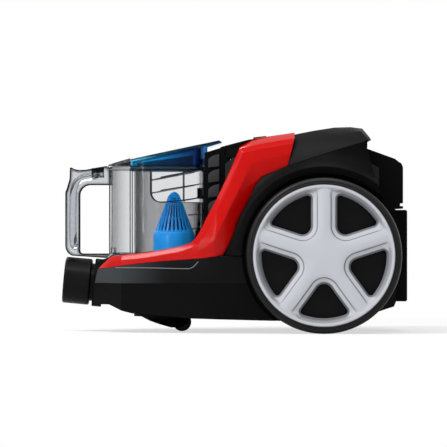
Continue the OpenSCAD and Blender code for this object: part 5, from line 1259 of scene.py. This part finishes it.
# %% Painted dark lines on the clear container
EDGE_LINE_ROD = 0.65
THIN_LINE_ROD = 0.6
HANDLE_LINE_Y = 12.8
front_x, foot_z = handle_low[0], handle_low[2]
rim_z = handle_high[2]
hook_z = rim_z - 1.3
grip_under_z = rim_z - 21.5
joint_x = bay_low[0] + 1.0


def polyline(points, count):
    """Points at even distances along straight runs, so that corners stay corners."""
    points = np.vstack(points)
    length = np.concatenate([[0], np.cumsum(np.linalg.norm(np.diff(points, axis=0), axis=1))])
    place = np.linspace(0, length[-1], count)
    return np.column_stack([np.interp(place, length, points[:, axis]) for axis in range(points.shape[1])])


outer_line = polyline([
    [[joint_x - 2, foot_z]], arc((front_x + 12, foot_z + 14), 12, 250, 180, 10),
    [[front_x, rim_z - 31], [front_x + 1.6, rim_z - 27], [front_x + 5, hook_z - 14], [front_x + 5.6, hook_z],
     [front_x + 9, hook_z - 2.2], [front_x + 16, hook_z - 3.6], [front_x + 24, hook_z - 3.2],
     [front_x + 36, hook_z - 0.8], [joint_x - 2, rim_z]]], 160)
inner_line = polyline([
    [[joint_x, grip_under_z]], arc((front_x + 29, grip_under_z - 13), 13, 90, 180, 14),
    arc((front_x + 20, foot_z + 8), 4, 180, 270, 8), [[joint_x, foot_z + 4]]], 120)
shade_lines = []
for _, sign in SIDES:
    for line in (outer_line, inner_line):
        shade_lines.append(rod(at_depth(line, sign * HANDLE_LINE_Y), EDGE_LINE_ROD))
    # X and Y of an upright, and how far it stays off the container's foot and rim.
    for x, y, off_foot, off_rim in ((-122.3, 47.4, 3, 3), (joint_x + 1.3, 13.7, 1, 4)):
        upright = polyline([[[x, sign * y, bay_low[2] + off_foot], [x, sign * y, rim_z - off_rim]]], 12)
        shade_lines.append(rod(upright, THIN_LINE_ROD))
# Black rods: painted shade for the dark lines at the clear edges.
make_piece("container_shade_lines", shade_lines, CAGE_BLACK, "container")

# %% [markdown]
# ## Painted dark line on the lid
# A thin black rod runs along the lid's top edge on both sides, painted shade for the dark line that
# the clear edge shows. In plan it follows the lid's round front, as in y^2 = r^2 - x^2, then the
# straight side, and draws in at the rear. The lid rises steadily.

# %% Painted dark line on the lid
LID_R = 61.0
LID_CENTRE_X = -89
LID_REAR_Y = 54
LID_SLOPE = 23 / 108
lid_low, lid_high = node_box("container_lid")
lid_x = np.linspace(lid_low[0] + 0.5, lid_high[0] - 3, 60)
lid_plan = np.sqrt(LID_R**2 - np.minimum(lid_x - LID_CENTRE_X, 0) ** 2)
lid_plan = np.minimum(lid_plan, np.interp(lid_x, [-42, -35], [LID_R, LID_REAR_Y]))
lid_top = lid_high[2] + 0.3 + LID_SLOPE * (lid_x - lid_high[0])
lid_line = np.column_stack([lid_x, lid_top])
lid_shade_lines = [rod(at_depth(lid_line, sign * (lid_plan - THIN_LINE_ROD)), THIN_LINE_ROD) for _, sign in SIDES]
# Black rods: painted shade for the dark line at the lid's clear edge.
make_piece("lid_shade_line", lid_shade_lines, CAGE_BLACK, "lid")

# %% [markdown]
# ## Coil springs
# A spring under a button gets shorter as the button goes down. Each coil here is a new piece, a
# round wire along a helix that fills the height of its solid's box.

# %% Coil springs
COIL_STEPS = 28


def coil(centre, radius, wire, foot, head, turns):
    """A round wire along a helix: the angle grows evenly while the height goes from foot to head."""
    turn = np.linspace(0, 2 * math.pi * turns, COIL_STEPS * turns + 1)
    height = np.linspace(foot + wire, head - wire, len(turn))
    helix = np.column_stack([centre[0] + radius * np.cos(turn), centre[1] + radius * np.sin(turn), height])
    return rod(helix, wire, across=(0.0, 0.0, 1.0))


def make_spring(name, box, middle_y, wire, turns, body, node):
    """A spring that fills the height of its solid's box."""
    low, high = box
    radius = (high[0] - low[0]) / 2 - wire
    centre = ((low[0] + high[0]) / 2, middle_y)
    spring = make_piece(name, [coil(centre, radius, wire, low[2], high[2], turns)], SPRING_STEEL, body,
                        replaces=(node,))
    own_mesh(spring)


for button in ("power", "rewind"):
    button_low, button_high = node_box(f"{button}_button")
    button_y = (button_low[1] + button_high[1]) / 2
    make_spring(f"{button}_spring", node_box("button_springs"), button_y, wire=0.6, turns=5, body="body",
                node="button_springs")
make_spring("release_coil", node_box("release_spring"), 0.0, wire=0.4, turns=4, body="container",
            node="release_spring")

# %% Sizes of the finished scene
low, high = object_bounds()
print("visual box in mm:", [round(side / MM, 1) for side in high - low])
